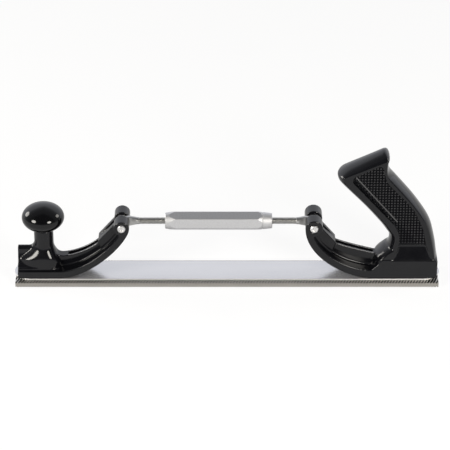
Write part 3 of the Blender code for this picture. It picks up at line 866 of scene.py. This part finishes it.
# Rear foot and grip. Sections run from the finger side to the palm side, each end given as a distance
# forward of the rear end and a height over the foot, with the section's half width and its palm's crown.
GRIP_SECTIONS = (
    ((0.0540, 0.0080), (0.0004, 0.0060), 0.0144, 0.0020),
    ((0.0520, 0.0165), (0.0004, 0.0140), 0.0143, 0.0020),
    ((0.0462, 0.0228), (0.0008, 0.0200), 0.0132, 0.0024),
    ((0.0416, 0.0262), (0.0016, 0.0265), 0.0123, 0.0028),
    ((0.0400, 0.0315), (0.0026, 0.0320), 0.0120, 0.0030),
    ((0.0405, 0.0375), (0.0044, 0.0400), 0.0120, 0.0030),
    ((0.0432, 0.0417), (0.0065, 0.0470), 0.0120, 0.0030),
    ((0.0486, 0.0493), (0.0108, 0.0553), 0.0120, 0.0030),
    ((0.0613, 0.0644), (0.0205, 0.0694), 0.0120, 0.0030),
    ((0.0755, 0.0794), (0.0338, 0.0856), 0.0120, 0.0030),
    ((0.0803, 0.0846), (0.0399, 0.0927), 0.0120, 0.0026),
    ((0.0828, 0.0878), (0.0423, 0.0985), 0.0120, 0.0020),
    ((0.0836, 0.0908), (0.0421, 0.1090), 0.0120, 0.0016),
)
FINGER_ROUND = 0.0050
FINGER_EDGE_DEG = 62
PALM_EDGE_DEG = 60
FINGER_STEPS = 9
SIDE_STEPS = 10
PALM_STEPS = 12
STEPS_PER_SECTION = 7
CAP_NOSE = Vector(GRIP_SECTIONS[-1][0])
CAP_HEEL = Vector(GRIP_SECTIONS[-1][1])
CAP_NOSE_RISE = 0.0028
CAP_HEEL_RISE = 0.0053
CAP_NOSE_SLOPE = 0.013
CAP_HEEL_SLOPE = 0.004
CAP_NOSE_ROUND = 0.0075
CAP_HEEL_ROUND = 0.002
CAP_HALF = 0.0120
CAP_ARC_DEG = 58
CAP_SINK = 0.0015
CAP_RINGS = 40
CAP_STEPS = 12
BASE_HEIGHT = 0.0167
RAMP_FOOT = 0.0545
RAMP_LENGTH = 0.0095


def on_grip(point, y):
    return Vector((REAR_END - point[0], y, FOOT_Z + point[1]))


def crown(depth, half, edge_deg, steps):
    """Half a shallow round from its middle to its edge, as (depth, half width) pairs."""
    edge = math.radians(edge_deg)
    pairs = []
    for i in range(steps + 1):
        angle = edge * i / steps
        deep = depth * (1 - math.cos(angle)) / (1 - math.cos(edge))
        pairs.append((deep, half * math.sin(angle) / math.sin(edge)))
    return pairs


def grip_ring(finger, palm, half, palm_round):
    """Flat sides between a round finger edge and a crowned palm, with an edge where they meet."""
    length = (palm - finger).length
    along = (palm - finger) / length
    side = crown(FINGER_ROUND, half, FINGER_EDGE_DEG, FINGER_STEPS)
    flat = length - FINGER_ROUND - palm_round
    side += [(FINGER_ROUND + flat * i / SIDE_STEPS, half) for i in range(1, SIDE_STEPS)]
    back = crown(palm_round, half, PALM_EDGE_DEG, PALM_STEPS)
    side += [(length - deep, wide) for deep, wide in reversed(back)]
    near = [on_grip(finger + along * deep, -y) for deep, y in side]
    far = [on_grip(finger + along * deep, y) for deep, y in side[-2:0:-1]]
    return near + far


def grip_body():
    fingers = [Vector(section[0]) for section in GRIP_SECTIONS]
    palms = [Vector(section[1]) for section in GRIP_SECTIONS]
    halves = [section[2] for section in GRIP_SECTIONS]
    crowns = [section[3] for section in GRIP_SECTIONS]
    rings = []
    for step in range((len(GRIP_SECTIONS) - 1) * STEPS_PER_SECTION + 1):
        share = step / STEPS_PER_SECTION
        rings.append(grip_ring(*(through(values, share) for values in (fingers, palms, halves, crowns))))
    return skin("grip", rings)


def round_off(distance, length):
    """Grows from 0 to 1 like a quarter circle over a length."""
    return math.sqrt(1 - (1 - min(distance / length, 1)) ** 2)


def grip_cap():
    """The domed cap, low at the nose over the fingers and high at the heel."""
    length = (CAP_HEEL - CAP_NOSE).length
    along = (CAP_HEEL - CAP_NOSE) / length
    up = Vector((along.y, -along.x))
    edge = math.radians(CAP_ARC_DEG)
    rings = []
    for i in range(1, CAP_RINGS):
        place = length * (1 - math.cos(math.pi * i / CAP_RINGS)) / 2
        left = length - place
        rise = CAP_NOSE_RISE + (CAP_HEEL_RISE - CAP_NOSE_RISE) * place / length
        rise *= round_off(place, CAP_NOSE_SLOPE) * round_off(left, CAP_HEEL_SLOPE)
        half = CAP_HALF * round_off(place, CAP_NOSE_ROUND) * round_off(left, CAP_HEEL_ROUND)
        section = [(-half, -CAP_SINK)]
        for j in range(-CAP_STEPS, CAP_STEPS + 1):
            angle = edge * j / CAP_STEPS
            height = rise * (math.cos(angle) - math.cos(edge)) / (1 - math.cos(edge))
            section.append((half * math.sin(angle) / math.sin(edge), height))
        section.append((half, -CAP_SINK))
        rings.append([on_grip(CAP_NOSE + along * place + up * h, y) for y, h in section])
    return skin("cap", rings)


# Checkered panel on each side of the grip, as places in X and Z. Below it the recess flares out.
PANEL_FOOT_Z = 0.0364
PANEL_FRONT = (
    (0.1413, PANEL_FOOT_Z), (0.1415, 0.0425), (0.1405, 0.0489), (0.1372, 0.0555), (0.1022, 0.0953),
)
PANEL_TOP = ((0.1026, 0.0985), (0.1044, 0.1003), (0.1230, 0.1098), (0.1258, 0.1090))
PANEL_BACK = (
    (0.1272, 0.1062), (0.1279, 0.1015), (0.1297, 0.0958), (0.1340, 0.0900),
    (0.1420, 0.0815), (0.1525, 0.0690), (0.1605, 0.0510), (0.1635, PANEL_FOOT_Z),
)
FLARE_FRONT = ((0.1345, 0.0226), (0.1370, 0.0255), (0.1402, 0.0310))
FLARE_BACK = ((0.1662, 0.0300), (0.1690, 0.0226))
FLARE_DROP = 0.0138
FLARE_SINK = 0.0014
FLARE_END = 0.0143
CREASE_TOP = Vector((0.1046, 0.0999))
CREASE_LOW = Vector((0.1395, 0.0583))
CREASE = CREASE_LOW - CREASE_TOP
CREASE_ALONG = CREASE.normalized()
GRIP_HALF = GRIP_SECTIONS[7][2]
PANEL_DEPTH = 0.0015
PANEL_STEPS = 5
STRIP_SLOPE = 0.42
STRIP_FADE = 0.014
RECESS_CELL = 0.0011
RECESS_PULL = 0.012
SHEET_MARGIN = 1.4
TRIM_START = 0.002
TRIM_DEPTH = 0.04
CHECK_PITCH = 0.00245
CHECK_RISE = 0.0007
CHECK_SLOPE = 0.0006
CHECK_LIFT = 0.0002
CHECK_BACK = 0.002
CHECK_ROOM = 0.0005
RIB_RADIUS = 0.0006
RIB_SIDES = 12


def panel_outline():
    front = [Vector(p) for p in PANEL_FRONT + PANEL_TOP]
    back = [Vector(p) for p in PANEL_BACK]
    steps = PANEL_STEPS * (len(back) - 1)
    return front + [through(back, i / PANEL_STEPS) for i in range(steps + 1)]


def ahead_of_crease(x, z):
    return (Vector((x, z)) - CREASE_TOP).dot(Vector((CREASE_ALONG.y, -CREASE_ALONG.x)))


def recess_floor(x, z):
    """How far out the recess lies: level behind the crease, falling ahead of it and flaring at the foot."""
    level = GRIP_HALF - PANEL_DEPTH
    if z < PANEL_FOOT_Z:
        drop = (PANEL_FOOT_Z - z) / FLARE_DROP
        sunk = level - FLARE_SINK
        return sunk + (FLARE_END - sunk) * drop
    left = CREASE.length - (Vector((x, z)) - CREASE_TOP).dot(CREASE_ALONG)
    return level - STRIP_SLOPE * max(ahead_of_crease(x, z), 0) * smooth_step(left / STRIP_FADE)


def floor_sheet(name, outline, cell, lift, pull):
    """A block of square cells on the near recess floor, pulled across by a distance."""
    low_x = min(p.x for p in outline) - SHEET_MARGIN * cell
    low_z = min(p.y for p in outline) - SHEET_MARGIN * cell
    columns = math.ceil((max(p.x for p in outline) - low_x) / cell) + 1
    rows = math.ceil((max(p.y for p in outline) - low_z) / cell) + 1
    clear_selection()
    bpy.ops.mesh.primitive_grid_add(x_subdivisions=columns, y_subdivisions=rows, size=2)
    sheet = bpy.context.active_object
    sheet.name = name
    for vert in sheet.data.vertices:
        x = low_x + (vert.co.x + 1) / 2 * columns * cell
        z = low_z + (vert.co.y + 1) / 2 * rows * cell
        vert.co = (x, -recess_floor(x, z) - lift, z)
    edit(sheet, "FACE")
    bpy.ops.mesh.extrude_region_move(TRANSFORM_OT_translate={"value": (0, pull, 0)})
    return closed(sheet)


def trimmed(sheet, outline):
    """A sheet cut to an outline seen from the side."""
    trim = slab("trim", [Vector((p.x, -TRIM_START, p.y)) for p in outline], (0, -TRIM_DEPTH, 0))
    return carve(sheet, trim, "INTERSECT")


def recess_cutter():
    """What lies outside the near recess, with the hollow that flares out below the panel."""
    outline = [Vector(p) for p in FLARE_FRONT] + panel_outline() + [Vector(p) for p in FLARE_BACK]
    return trimmed(floor_sheet("recess", outline, RECESS_CELL, 0, -RECESS_PULL), outline)


def crease_rib():
    """A fine rib along the crease of the panel."""
    out = Vector((CREASE_ALONG.y, 0, -CREASE_ALONG.x))
    turns = [2 * math.pi * i / RIB_SIDES for i in range(RIB_SIDES)]
    around = [out * math.cos(a) + Vector((0, math.sin(a), 0)) for a in turns]
    rings = []
    for end in (CREASE_TOP, CREASE_LOW):
        sunk = recess_floor(end.x, end.y) + CHECK_LIFT + CHECK_RISE - RIB_RADIUS / 2
        rings.append([Vector((end.x, -sunk, end.y)) + way * RIB_RADIUS for way in around])
    return skin("rib", rings)


def on_top(face):
    """Whether a face of the checkering's sheet looks out of the near recess."""
    centre = face.calc_center_median()
    return face.normal.y < -0.5 and -centre.y > recess_floor(centre.x, centre.z) - CHECK_ROOM


def make_checkering():
    """Small square studs in rows, trimmed to the panel, a rib along the crease, and a mirrored twin."""
    outline = panel_outline()
    near = floor_sheet("grip_checkering_near", outline, CHECK_PITCH, CHECK_LIFT, CHECK_BACK)
    bm = choose(near, "FACE", on_top)
    bpy.ops.mesh.inset(thickness=CHECK_SLOPE, depth=CHECK_RISE, use_individual=True)
    # Stud tops behind the crease get the painted sheen. The strip ahead of the crease and the grooves keep
    # the black enamel.
    for face in bm.faces:
        face.material_index = int(face.select and ahead_of_crease(*face.calc_center_median().xz) <= 0)
    bmesh.update_edit_mesh(near.data)
    object_mode()
    finishes = [ENAMEL, STUD_SHEEN_ENAMEL, RIB_HIGHLIGHT_ENAMEL]
    lay_on(near, finishes)
    rib = crease_rib()
    # The rib takes the painted highlight.
    for face in rib.data.polygons:
        face.material_index = finishes.index(RIB_HIGHLIGHT_ENAMEL)
    lay_on(rib, finishes)
    carve(near, rib, "UNION")
    trimmed(near, outline)
    pick(near)
    bpy.ops.object.duplicate()
    far = bpy.context.active_object
    far.name = "grip_checkering_far"
    far.data.transform(Matrix.Diagonal((1, -1, 1, 1)))
    edit(far)
    closed(far)
    for checkering in (near, far):
        done(checkering, finishes, "rear_holder", smooth_deg=20)


def make_rear_casting():
    ramp_foot = REAR.reach - RAMP_FOOT
    foot = [(ramp_foot, REAR.flange), (ramp_foot + RAMP_LENGTH, BASE_HEIGHT)]
    foot += [(REAR.reach, BASE_HEIGHT), (REAR.reach, 0)]
    grip = carve(grip_body(), recess_cutter())
    edit(grip)
    bpy.ops.mesh.symmetrize(direction="NEGATIVE_Y", threshold=TOUCHING)
    closed(grip)
    shapes = arm_shapes(REAR, foot) + [grip, grip_cap()]
    casting = cast(joined("rear_cast_holder", *shapes), REAR_VOXEL)
    paint_rim_highlights(casting, REAR)
    return done(casting, CAST_FINISHES, "rear_holder", ["rear_casting"], smooth_deg=60)


# Knob, pins, rods, barrel and screws. A pin's end is given as (radius, depth under its end face).
KNOB_GAP = 0.0004
KNOB_SEAT_STEP = 0.0015
KNOB_STEPS = 44
PIN_DIMPLE = ((0, 0.0002), (0.0007, 0.0002), (0.0009, 0.0012), (0.0017, 0.0012), (0.0019, 0))
PIN_EDGE = 0.0005


def make_knob():
    radius = (KNOB_HIGH.x - KNOB_LOW.x) / 2
    start = -math.acos(POST_RADIUS / radius)
    half_height = (KNOB_HIGH.z - KNOB_LOW.z) / (1 - math.sin(start))
    centre = KNOB_HIGH.z - half_height
    seat = KNOB_LOW.z + KNOB_GAP
    profile = [(0, seat), (POST_RADIUS - KNOB_SEAT_STEP, seat)]
    for i in range(KNOB_STEPS):
        angle = start + (math.pi / 2 - start) * i / KNOB_STEPS
        profile.append((radius * math.cos(angle), centre + half_height * math.sin(angle)))
    profile.append((0, KNOB_HIGH.z))
    knob = turned("front_ball_knob", profile, (0, 0, 1), (POST_X, 0, 0), sides=96)
    return done(knob, [KNOB_BLACK], "front_holder", ["front_knob"], smooth_deg=50)


def make_pin(word, pin):
    """A bright pin with a ring-shaped dimple in each end."""
    node = f"{word}_pivot_pin"
    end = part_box(node)[1].y
    half = [(radius, end - depth) for radius, depth in PIN_DIMPLE]
    half += [(PIN_RADIUS - PIN_EDGE, end), (PIN_RADIUS, end - PIN_EDGE)]
    profile = [(r, -y) for r, y in half] + [(r, y) for r, y in reversed(half)]
    made = turned(f"{word}_pin", profile, (0, 1, 0), pin, sides=48)
    return done(made, [PIN_STEEL], f"{word}_holder", [node], smooth_deg=25)


# A thread's outline is given as (radius, share of the pitch).
ROD_RADIUS = 0.003
THREAD_ROOT = 0.00239
THREAD_SHAPE = (
    (THREAD_ROOT, 0), (THREAD_ROOT, 0.12), (ROD_RADIUS, 0.44),
    (ROD_RADIUS, 0.56), (THREAD_ROOT, 0.88), (THREAD_ROOT, 1),
)
THREAD_PITCH = 0.001
THREAD_STEPS = 24
THREAD_START = 0.0140
THREAD_IN_BARREL = 0.012
EYE_RADIUS = 0.0047
EYE_HALF = 0.0019
EYE_EDGE = 0.0004
EYE_ROOM = 0.0002
NECK_RADIUS = 0.0041
NECK_START = 0.0070
NECK_END = 0.0125
FLAT_SINK = 0.00005
FLAT_END = 0.0085
FLAT_RUN_OUT = 0.0150
FLAT_RUN_OUT_HALF = 0.0034


def thread(name, pin, side, turns):
    """A screw thread from the neck on, left-handed on one rod and right-handed on the other."""
    start = pin.x - side * THREAD_START
    points = [Vector((start - side * along * THREAD_PITCH, 0, radius)) for radius, along in THREAD_SHAPE]
    obj = ring(name, points)
    choose(obj, "EDGE", lambda edge: edge.calc_length() > 0.9 * THREAD_PITCH)
    bpy.ops.mesh.delete(type="EDGE")
    object_mode()
    modify(
        obj, "SCREW", axis="X", screw_offset=-side * THREAD_PITCH, iterations=turns, steps=THREAD_STEPS,
        render_steps=THREAD_STEPS, use_merge_vertices=True, merge_threshold=TOUCHING,
    )
    edit(obj)
    bpy.ops.mesh.remove_doubles(threshold=TOUCHING)
    bpy.ops.mesh.fill_holes(sides=0)
    closed(obj)
    for vert in obj.data.vertices:
        vert.co.z += pin.z
    return obj


def make_rod(word, side, pin):
    """A round rod pressed flat into an eye for the pin, and its thread."""
    name = f"{word}_threaded_rod"
    half = [(0, -EYE_HALF), (EYE_RADIUS - EYE_EDGE, -EYE_HALF), (EYE_RADIUS, EYE_EDGE - EYE_HALF)]
    eye = turned(name, half + [(r, -y) for r, y in reversed(half)], (0, 1, 0), pin, sides=48)
    tip = THREAD_START + THREAD_PITCH
    blank = [(0, EYE_HALF), (NECK_RADIUS, EYE_HALF), (NECK_RADIUS, NECK_START), (ROD_RADIUS, NECK_END)]
    blank += [(ROD_RADIUS, THREAD_START), (THREAD_ROOT, tip), (0, tip)]
    neck = turned("neck", blank, (-side, 0, 0), pin, sides=48)
    thin = EYE_HALF - FLAT_SINK
    flats = [(0, -thin), (FLAT_END, -thin), (FLAT_RUN_OUT, -FLAT_RUN_OUT_HALF)]
    flats += [(2 * FLAT_RUN_OUT, -FLAT_RUN_OUT_HALF)]
    flats += [(u, -y) for u, y in reversed(flats)]
    low = [Vector((pin.x - side * u, y, pin.z - 2 * NECK_RADIUS)) for u, y in flats]
    carve(neck, slab("flats", low, (0, 0, 4 * NECK_RADIUS)), "INTERSECT")
    carve(eye, neck, "UNION")
    carve(eye, drill("hole", PIN_RADIUS + EYE_ROOM, -THROUGH, THROUGH, (0, 1, 0), pin, sides=40))
    barrel_end = BARREL_HIGH.x if side > 0 else BARREL_LOW.x
    turns = math.ceil((abs(pin.x - barrel_end) - THREAD_START + THREAD_IN_BARREL) / THREAD_PITCH)
    rod = joined(name, eye, thread("thread", pin, side, turns))
    return done(rod, [ROD_STEEL], f"{word}_rod", [f"{word}_rod_end"], smooth_deg=30)


# The barrel's turned ends are given as (radius, distance from the end).
BAR_SPARE = 0.002
BAR_FLATS = 0.0142
BAR_CORNER = BAR_FLATS / math.sqrt(3)
BAR_FIRST_CORNER = math.radians(36)
BAR_EDGE = 0.0005
BAR_FULL = BAR_CORNER + BAR_EDGE
CONE_END = ((0.0062, 0), (0.0066, 0.0004), (BAR_FULL, 0.0119))
COLLAR_END = (
    (BAR_FULL, 0.0141), (0.00712, 0.0083), (0.00665, 0.0079),
    (0.00705, 0.0075), (0.0063, 0.0004), (0.0059, 0),
)
BORE_CLEARANCE = 0.0003
TURNED_TAPER = 0.04

# A screw's head and tip are given as (radius, distance from its own end).
SCREW_HEAD = ((0, 0), (0.00455, 0), (0.00475, 0.0003), (0.0025, 0.0026))
SCREW_TIP = ((0.0025, 0.0012), (0.00125, 0), (0, 0))
SOCKET_CORNER = 0.0017
SOCKET_DEPTH = 0.0018


def hexagon(corner, first=0):
    angles = [first + math.pi * i / 3 for i in range(6)]
    return [(corner * math.cos(a), corner * math.sin(a)) for a in angles]


def make_barrel():
    """A hexagonal bar, one end turned to a cone and the other to a collar behind a groove."""
    length = BARREL_HIGH.x - BARREL_LOW.x
    start = BARREL_LOW.x - BAR_SPARE
    corners = hexagon(BAR_CORNER, BAR_FIRST_CORNER)
    outline = [Vector((start, -across, REAR_PIN.z + up)) for across, up in corners]
    barrel = slab("hex_barrel", outline, (length + 2 * BAR_SPARE, 0, 0))
    bevel_edges(barrel, BAR_EDGE, lambda e: abs(e.verts[0].co.x - e.verts[1].co.x) > length / 2)
    half = length / 2
    bore = ROD_RADIUS + BORE_CLEARANCE
    profile = [(bore, -half)] + [(radius, inset - half) for radius, inset in CONE_END]
    profile += [(radius, half - inset) for radius, inset in COLLAR_END] + [(bore, half)]
    middle = Vector(((BARREL_LOW.x + BARREL_HIGH.x) / 2, 0, REAR_PIN.z))
    carve(barrel, turned("turned_ends", profile, (1, 0, 0), middle, sides=96), "INTERSECT")
    # Turned faces get the darker zinc with painted shade, and the hexagon's flats get the frosted zinc.
    for face in barrel.data.polygons:
        face.material_index = int(abs(face.normal.x) > TURNED_TAPER)
    finishes = [BARREL_ZINC, SHADED_END_ZINC]
    return done(barrel, finishes, "barrel", ["turnbuckle_barrel"], smooth_deg=12)


def make_screw(word, side):
    """A countersunk screw with a hexagon socket, its head in the blade's underside."""
    node = f"{word}_blade_screw"
    low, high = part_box(node)
    profile = [(radius, low.z + up) for radius, up in SCREW_HEAD]
    profile += [(radius, high.z - down) for radius, down in SCREW_TIP]
    screw = turned(f"{word}_screw", profile, (0, 0, 1), (side * SCREW_X, 0, 0), sides=40)
    socket = [Vector((side * SCREW_X + a, b, low.z - STAND_OUT)) for a, b in hexagon(SOCKET_CORNER)]
    carve(screw, slab("socket", socket, (0, 0, SOCKET_DEPTH + STAND_OUT)))
    return done(screw, [SCREW_ZINC], f"{word}_holder", [node], smooth_deg=30)


# Light, floor and camera.
LAMP_DISTANCE = 1.2
LAMP_SIZE = 0.44
FLOOR_SIZE = 6
FLOOR_DROP = 0.0001
FLOOR_GREY = (0.93, 0.93, 0.93, 1)
FLOOR_GLOW = 0.80
FLOOR_WHITE = 1.08
FLOOR_REFLECTED = 0.72
BLACK = (0, 0, 0, 1)
WHITE = (1, 1, 1, 1)
# The studio in reflections: greys by place, from the front round to the back and up from the horizon.
SIDE_LIGHT = 0.45
STUDIO_TINT = (0.95, 0.97, 1.03, 1)
STUDIO_SHADE = (0.14, 0.14, 0.15, 1)
BACK_STOPS = ((0.0, 0.07), (0.5, 0.09), (0.60, 0.22), (0.76, 0.28), (0.85, 0.45), (0.92, 0.95))
HORIZON_STOPS = ((0.0, 0.45), (0.06, 0.40), (0.16, 0.0))
LAMPS = {
    "back_left_softbox": (-115, 22, 3.5),
    "back_right_softbox": (108, 32, 2.4),
    "front_left_softbox": (-55, 23, 8.0),
    "front_right_softbox": (32, 24, 8.0),
}
LAMP_COLOUR = (1.0, 0.965, 0.90)


def make_lamps():
    """Softboxes, placed by their bearing from the front and their elevation, with their power."""
    for name, (bearing, elevation, power) in LAMPS.items():
        data = bpy.data.lights.new(name, "AREA")
        data.shape = "DISK"
        data.size = LAMP_SIZE
        data.energy = power
        data.color = LAMP_COLOUR
        lamp = bpy.data.objects.new(name, data)
        turn, rise = math.radians(bearing), math.radians(elevation)
        away = Vector((math.sin(turn) * math.cos(rise), -math.cos(turn) * math.cos(rise), math.sin(rise)))
        lamp.location = VIEW_TARGET + away * LAMP_DISTANCE
        lamp.rotation_mode = "QUATERNION"
        lamp.rotation_quaternion = away.to_track_quat("Z", "Y")
        bpy.context.scene.collection.objects.link(lamp)


def seen_rays(tree):
    """The kinds of ray, and 1 for camera, glossy and transmission rays, else 0."""
    path = add(tree, "ShaderNodeLightPath")
    both = reckon(tree, "MAXIMUM", path["Is Camera Ray"], path["Is Glossy Ray"])
    return path, reckon(tree, "MAXIMUM", both, path["Is Transmission Ray"])


def ramp(tree, place, stops):
    """A grey that follows (place, value) stops."""
    made = tree.nodes.new("ShaderNodeValToRGB")
    feed(tree, made.inputs["Fac"], place)
    elements = made.color_ramp.elements
    while len(elements) > 1:
        elements.remove(elements[-1])
    for i, (at, value) in enumerate(stops):
        stop = elements.new(at) if i else elements[0]
        stop.position = at
        stop.color = (value, value, value, 1)
    return made.outputs["Color"]


def make_world():
    """White where the camera looks; in reflections bright behind and aside, dark overhead and in front."""
    world = bpy.data.worlds.new("studio")
    bpy.context.scene.world = world
    world.use_nodes = True
    tree = world.node_tree
    split = add(tree, "ShaderNodeSeparateXYZ", Vector=add(tree, "ShaderNodeTexCoord")["Generated"])
    aside = reckon(tree, "ABSOLUTE", split["X"])
    round_back = reckon(tree, "MULTIPLY_ADD", aside, SIDE_LIGHT, split["Y"])
    shift = add(tree, "ShaderNodeMapRange", Value=round_back, From_Min=-1)
    back = ramp(tree, shift["Result"], BACK_STOPS)
    horizon = ramp(tree, split["Z"], HORIZON_STOPS)
    studio = mixed(tree, reckon(tree, "MAXIMUM", back, horizon), BLACK, STUDIO_TINT)
    path, seen = seen_rays(tree)
    reflected = mixed(tree, seen, STUDIO_SHADE, studio)
    shown = mixed(tree, path["Is Camera Ray"], reflected, WHITE)
    feed(tree, tree.nodes["Background"].inputs["Color"], shown)


def make_floor():
    """A pale floor that is white to the eye and still takes the object's shadow."""
    clear_selection()
    bpy.ops.mesh.primitive_plane_add(size=FLOOR_SIZE, location=(0, 0, -FLOOR_DROP))
    floor = bpy.context.active_object
    floor.name = "floor"
    made = bpy.data.materials.new("pale_floor")
    made.use_nodes = True
    tree = made.node_tree
    tree.nodes.clear()
    path, seen = seen_rays(tree)
    camera = path["Is Camera Ray"]
    strength = add(tree, "ShaderNodeMapRange", Value=camera, To_Min=FLOOR_REFLECTED, To_Max=FLOOR_WHITE)
    matt = add(tree, "ShaderNodeBsdfDiffuse", Color=FLOOR_GREY)
    glow = add(tree, "ShaderNodeEmission", Color=WHITE, Strength=strength["Result"])
    both = tree.nodes.new("ShaderNodeMixShader")
    share = reckon(tree, "MULTIPLY", seen, FLOOR_GLOW)
    for socket, value in zip(both.inputs, (share, matt[0], glow[0])):
        feed(tree, socket, value)
    add(tree, "ShaderNodeOutputMaterial", Surface=both.outputs[0])
    floor.data.materials.append(made)


def make_camera():
    data = bpy.data.cameras.new("camera")
    data.sensor_width = 36
    data.lens = VIEW_LENS
    camera = bpy.data.objects.new("camera", data)
    back = Vector((0, -math.cos(VIEW_ELEVATION), math.sin(VIEW_ELEVATION)))
    camera.location = VIEW_TARGET + back * VIEW_DISTANCE
    camera.rotation_euler = (math.pi / 2 - VIEW_ELEVATION, 0, 0)
    bpy.context.scene.collection.objects.link(camera)
    bpy.context.scene.camera = camera


def paint_kept_nodes():
    """The hidden thread pieces stay as the frame has them, with their own finish."""
    for node, material in (("knob_insert", INSERT_BRASS), ("knob_stud", SCREW_ZINC)):
        obj = frame["nodes"][node]
        obj.data.materials.clear()
        obj.data.materials.append(material)


def main():
    bpy.context.scene.view_settings.view_transform = "Standard"
    make_camera()
    make_world()
    make_lamps()
    make_floor()
    for word, side, _ in SIDES:
        make_blade(word, side)
        make_plate(word, side)
    make_front_casting()
    make_rear_casting()
    make_checkering()
    make_knob()
    for word, _, pin in SIDES:
        make_pin(word, pin)
    for word, side, pin in SIDES:
        make_rod(word, side, pin)
    make_barrel()
    for word, side, _ in SIDES:
        make_screw(word, side)
    paint_kept_nodes()
    object_mode()


main()
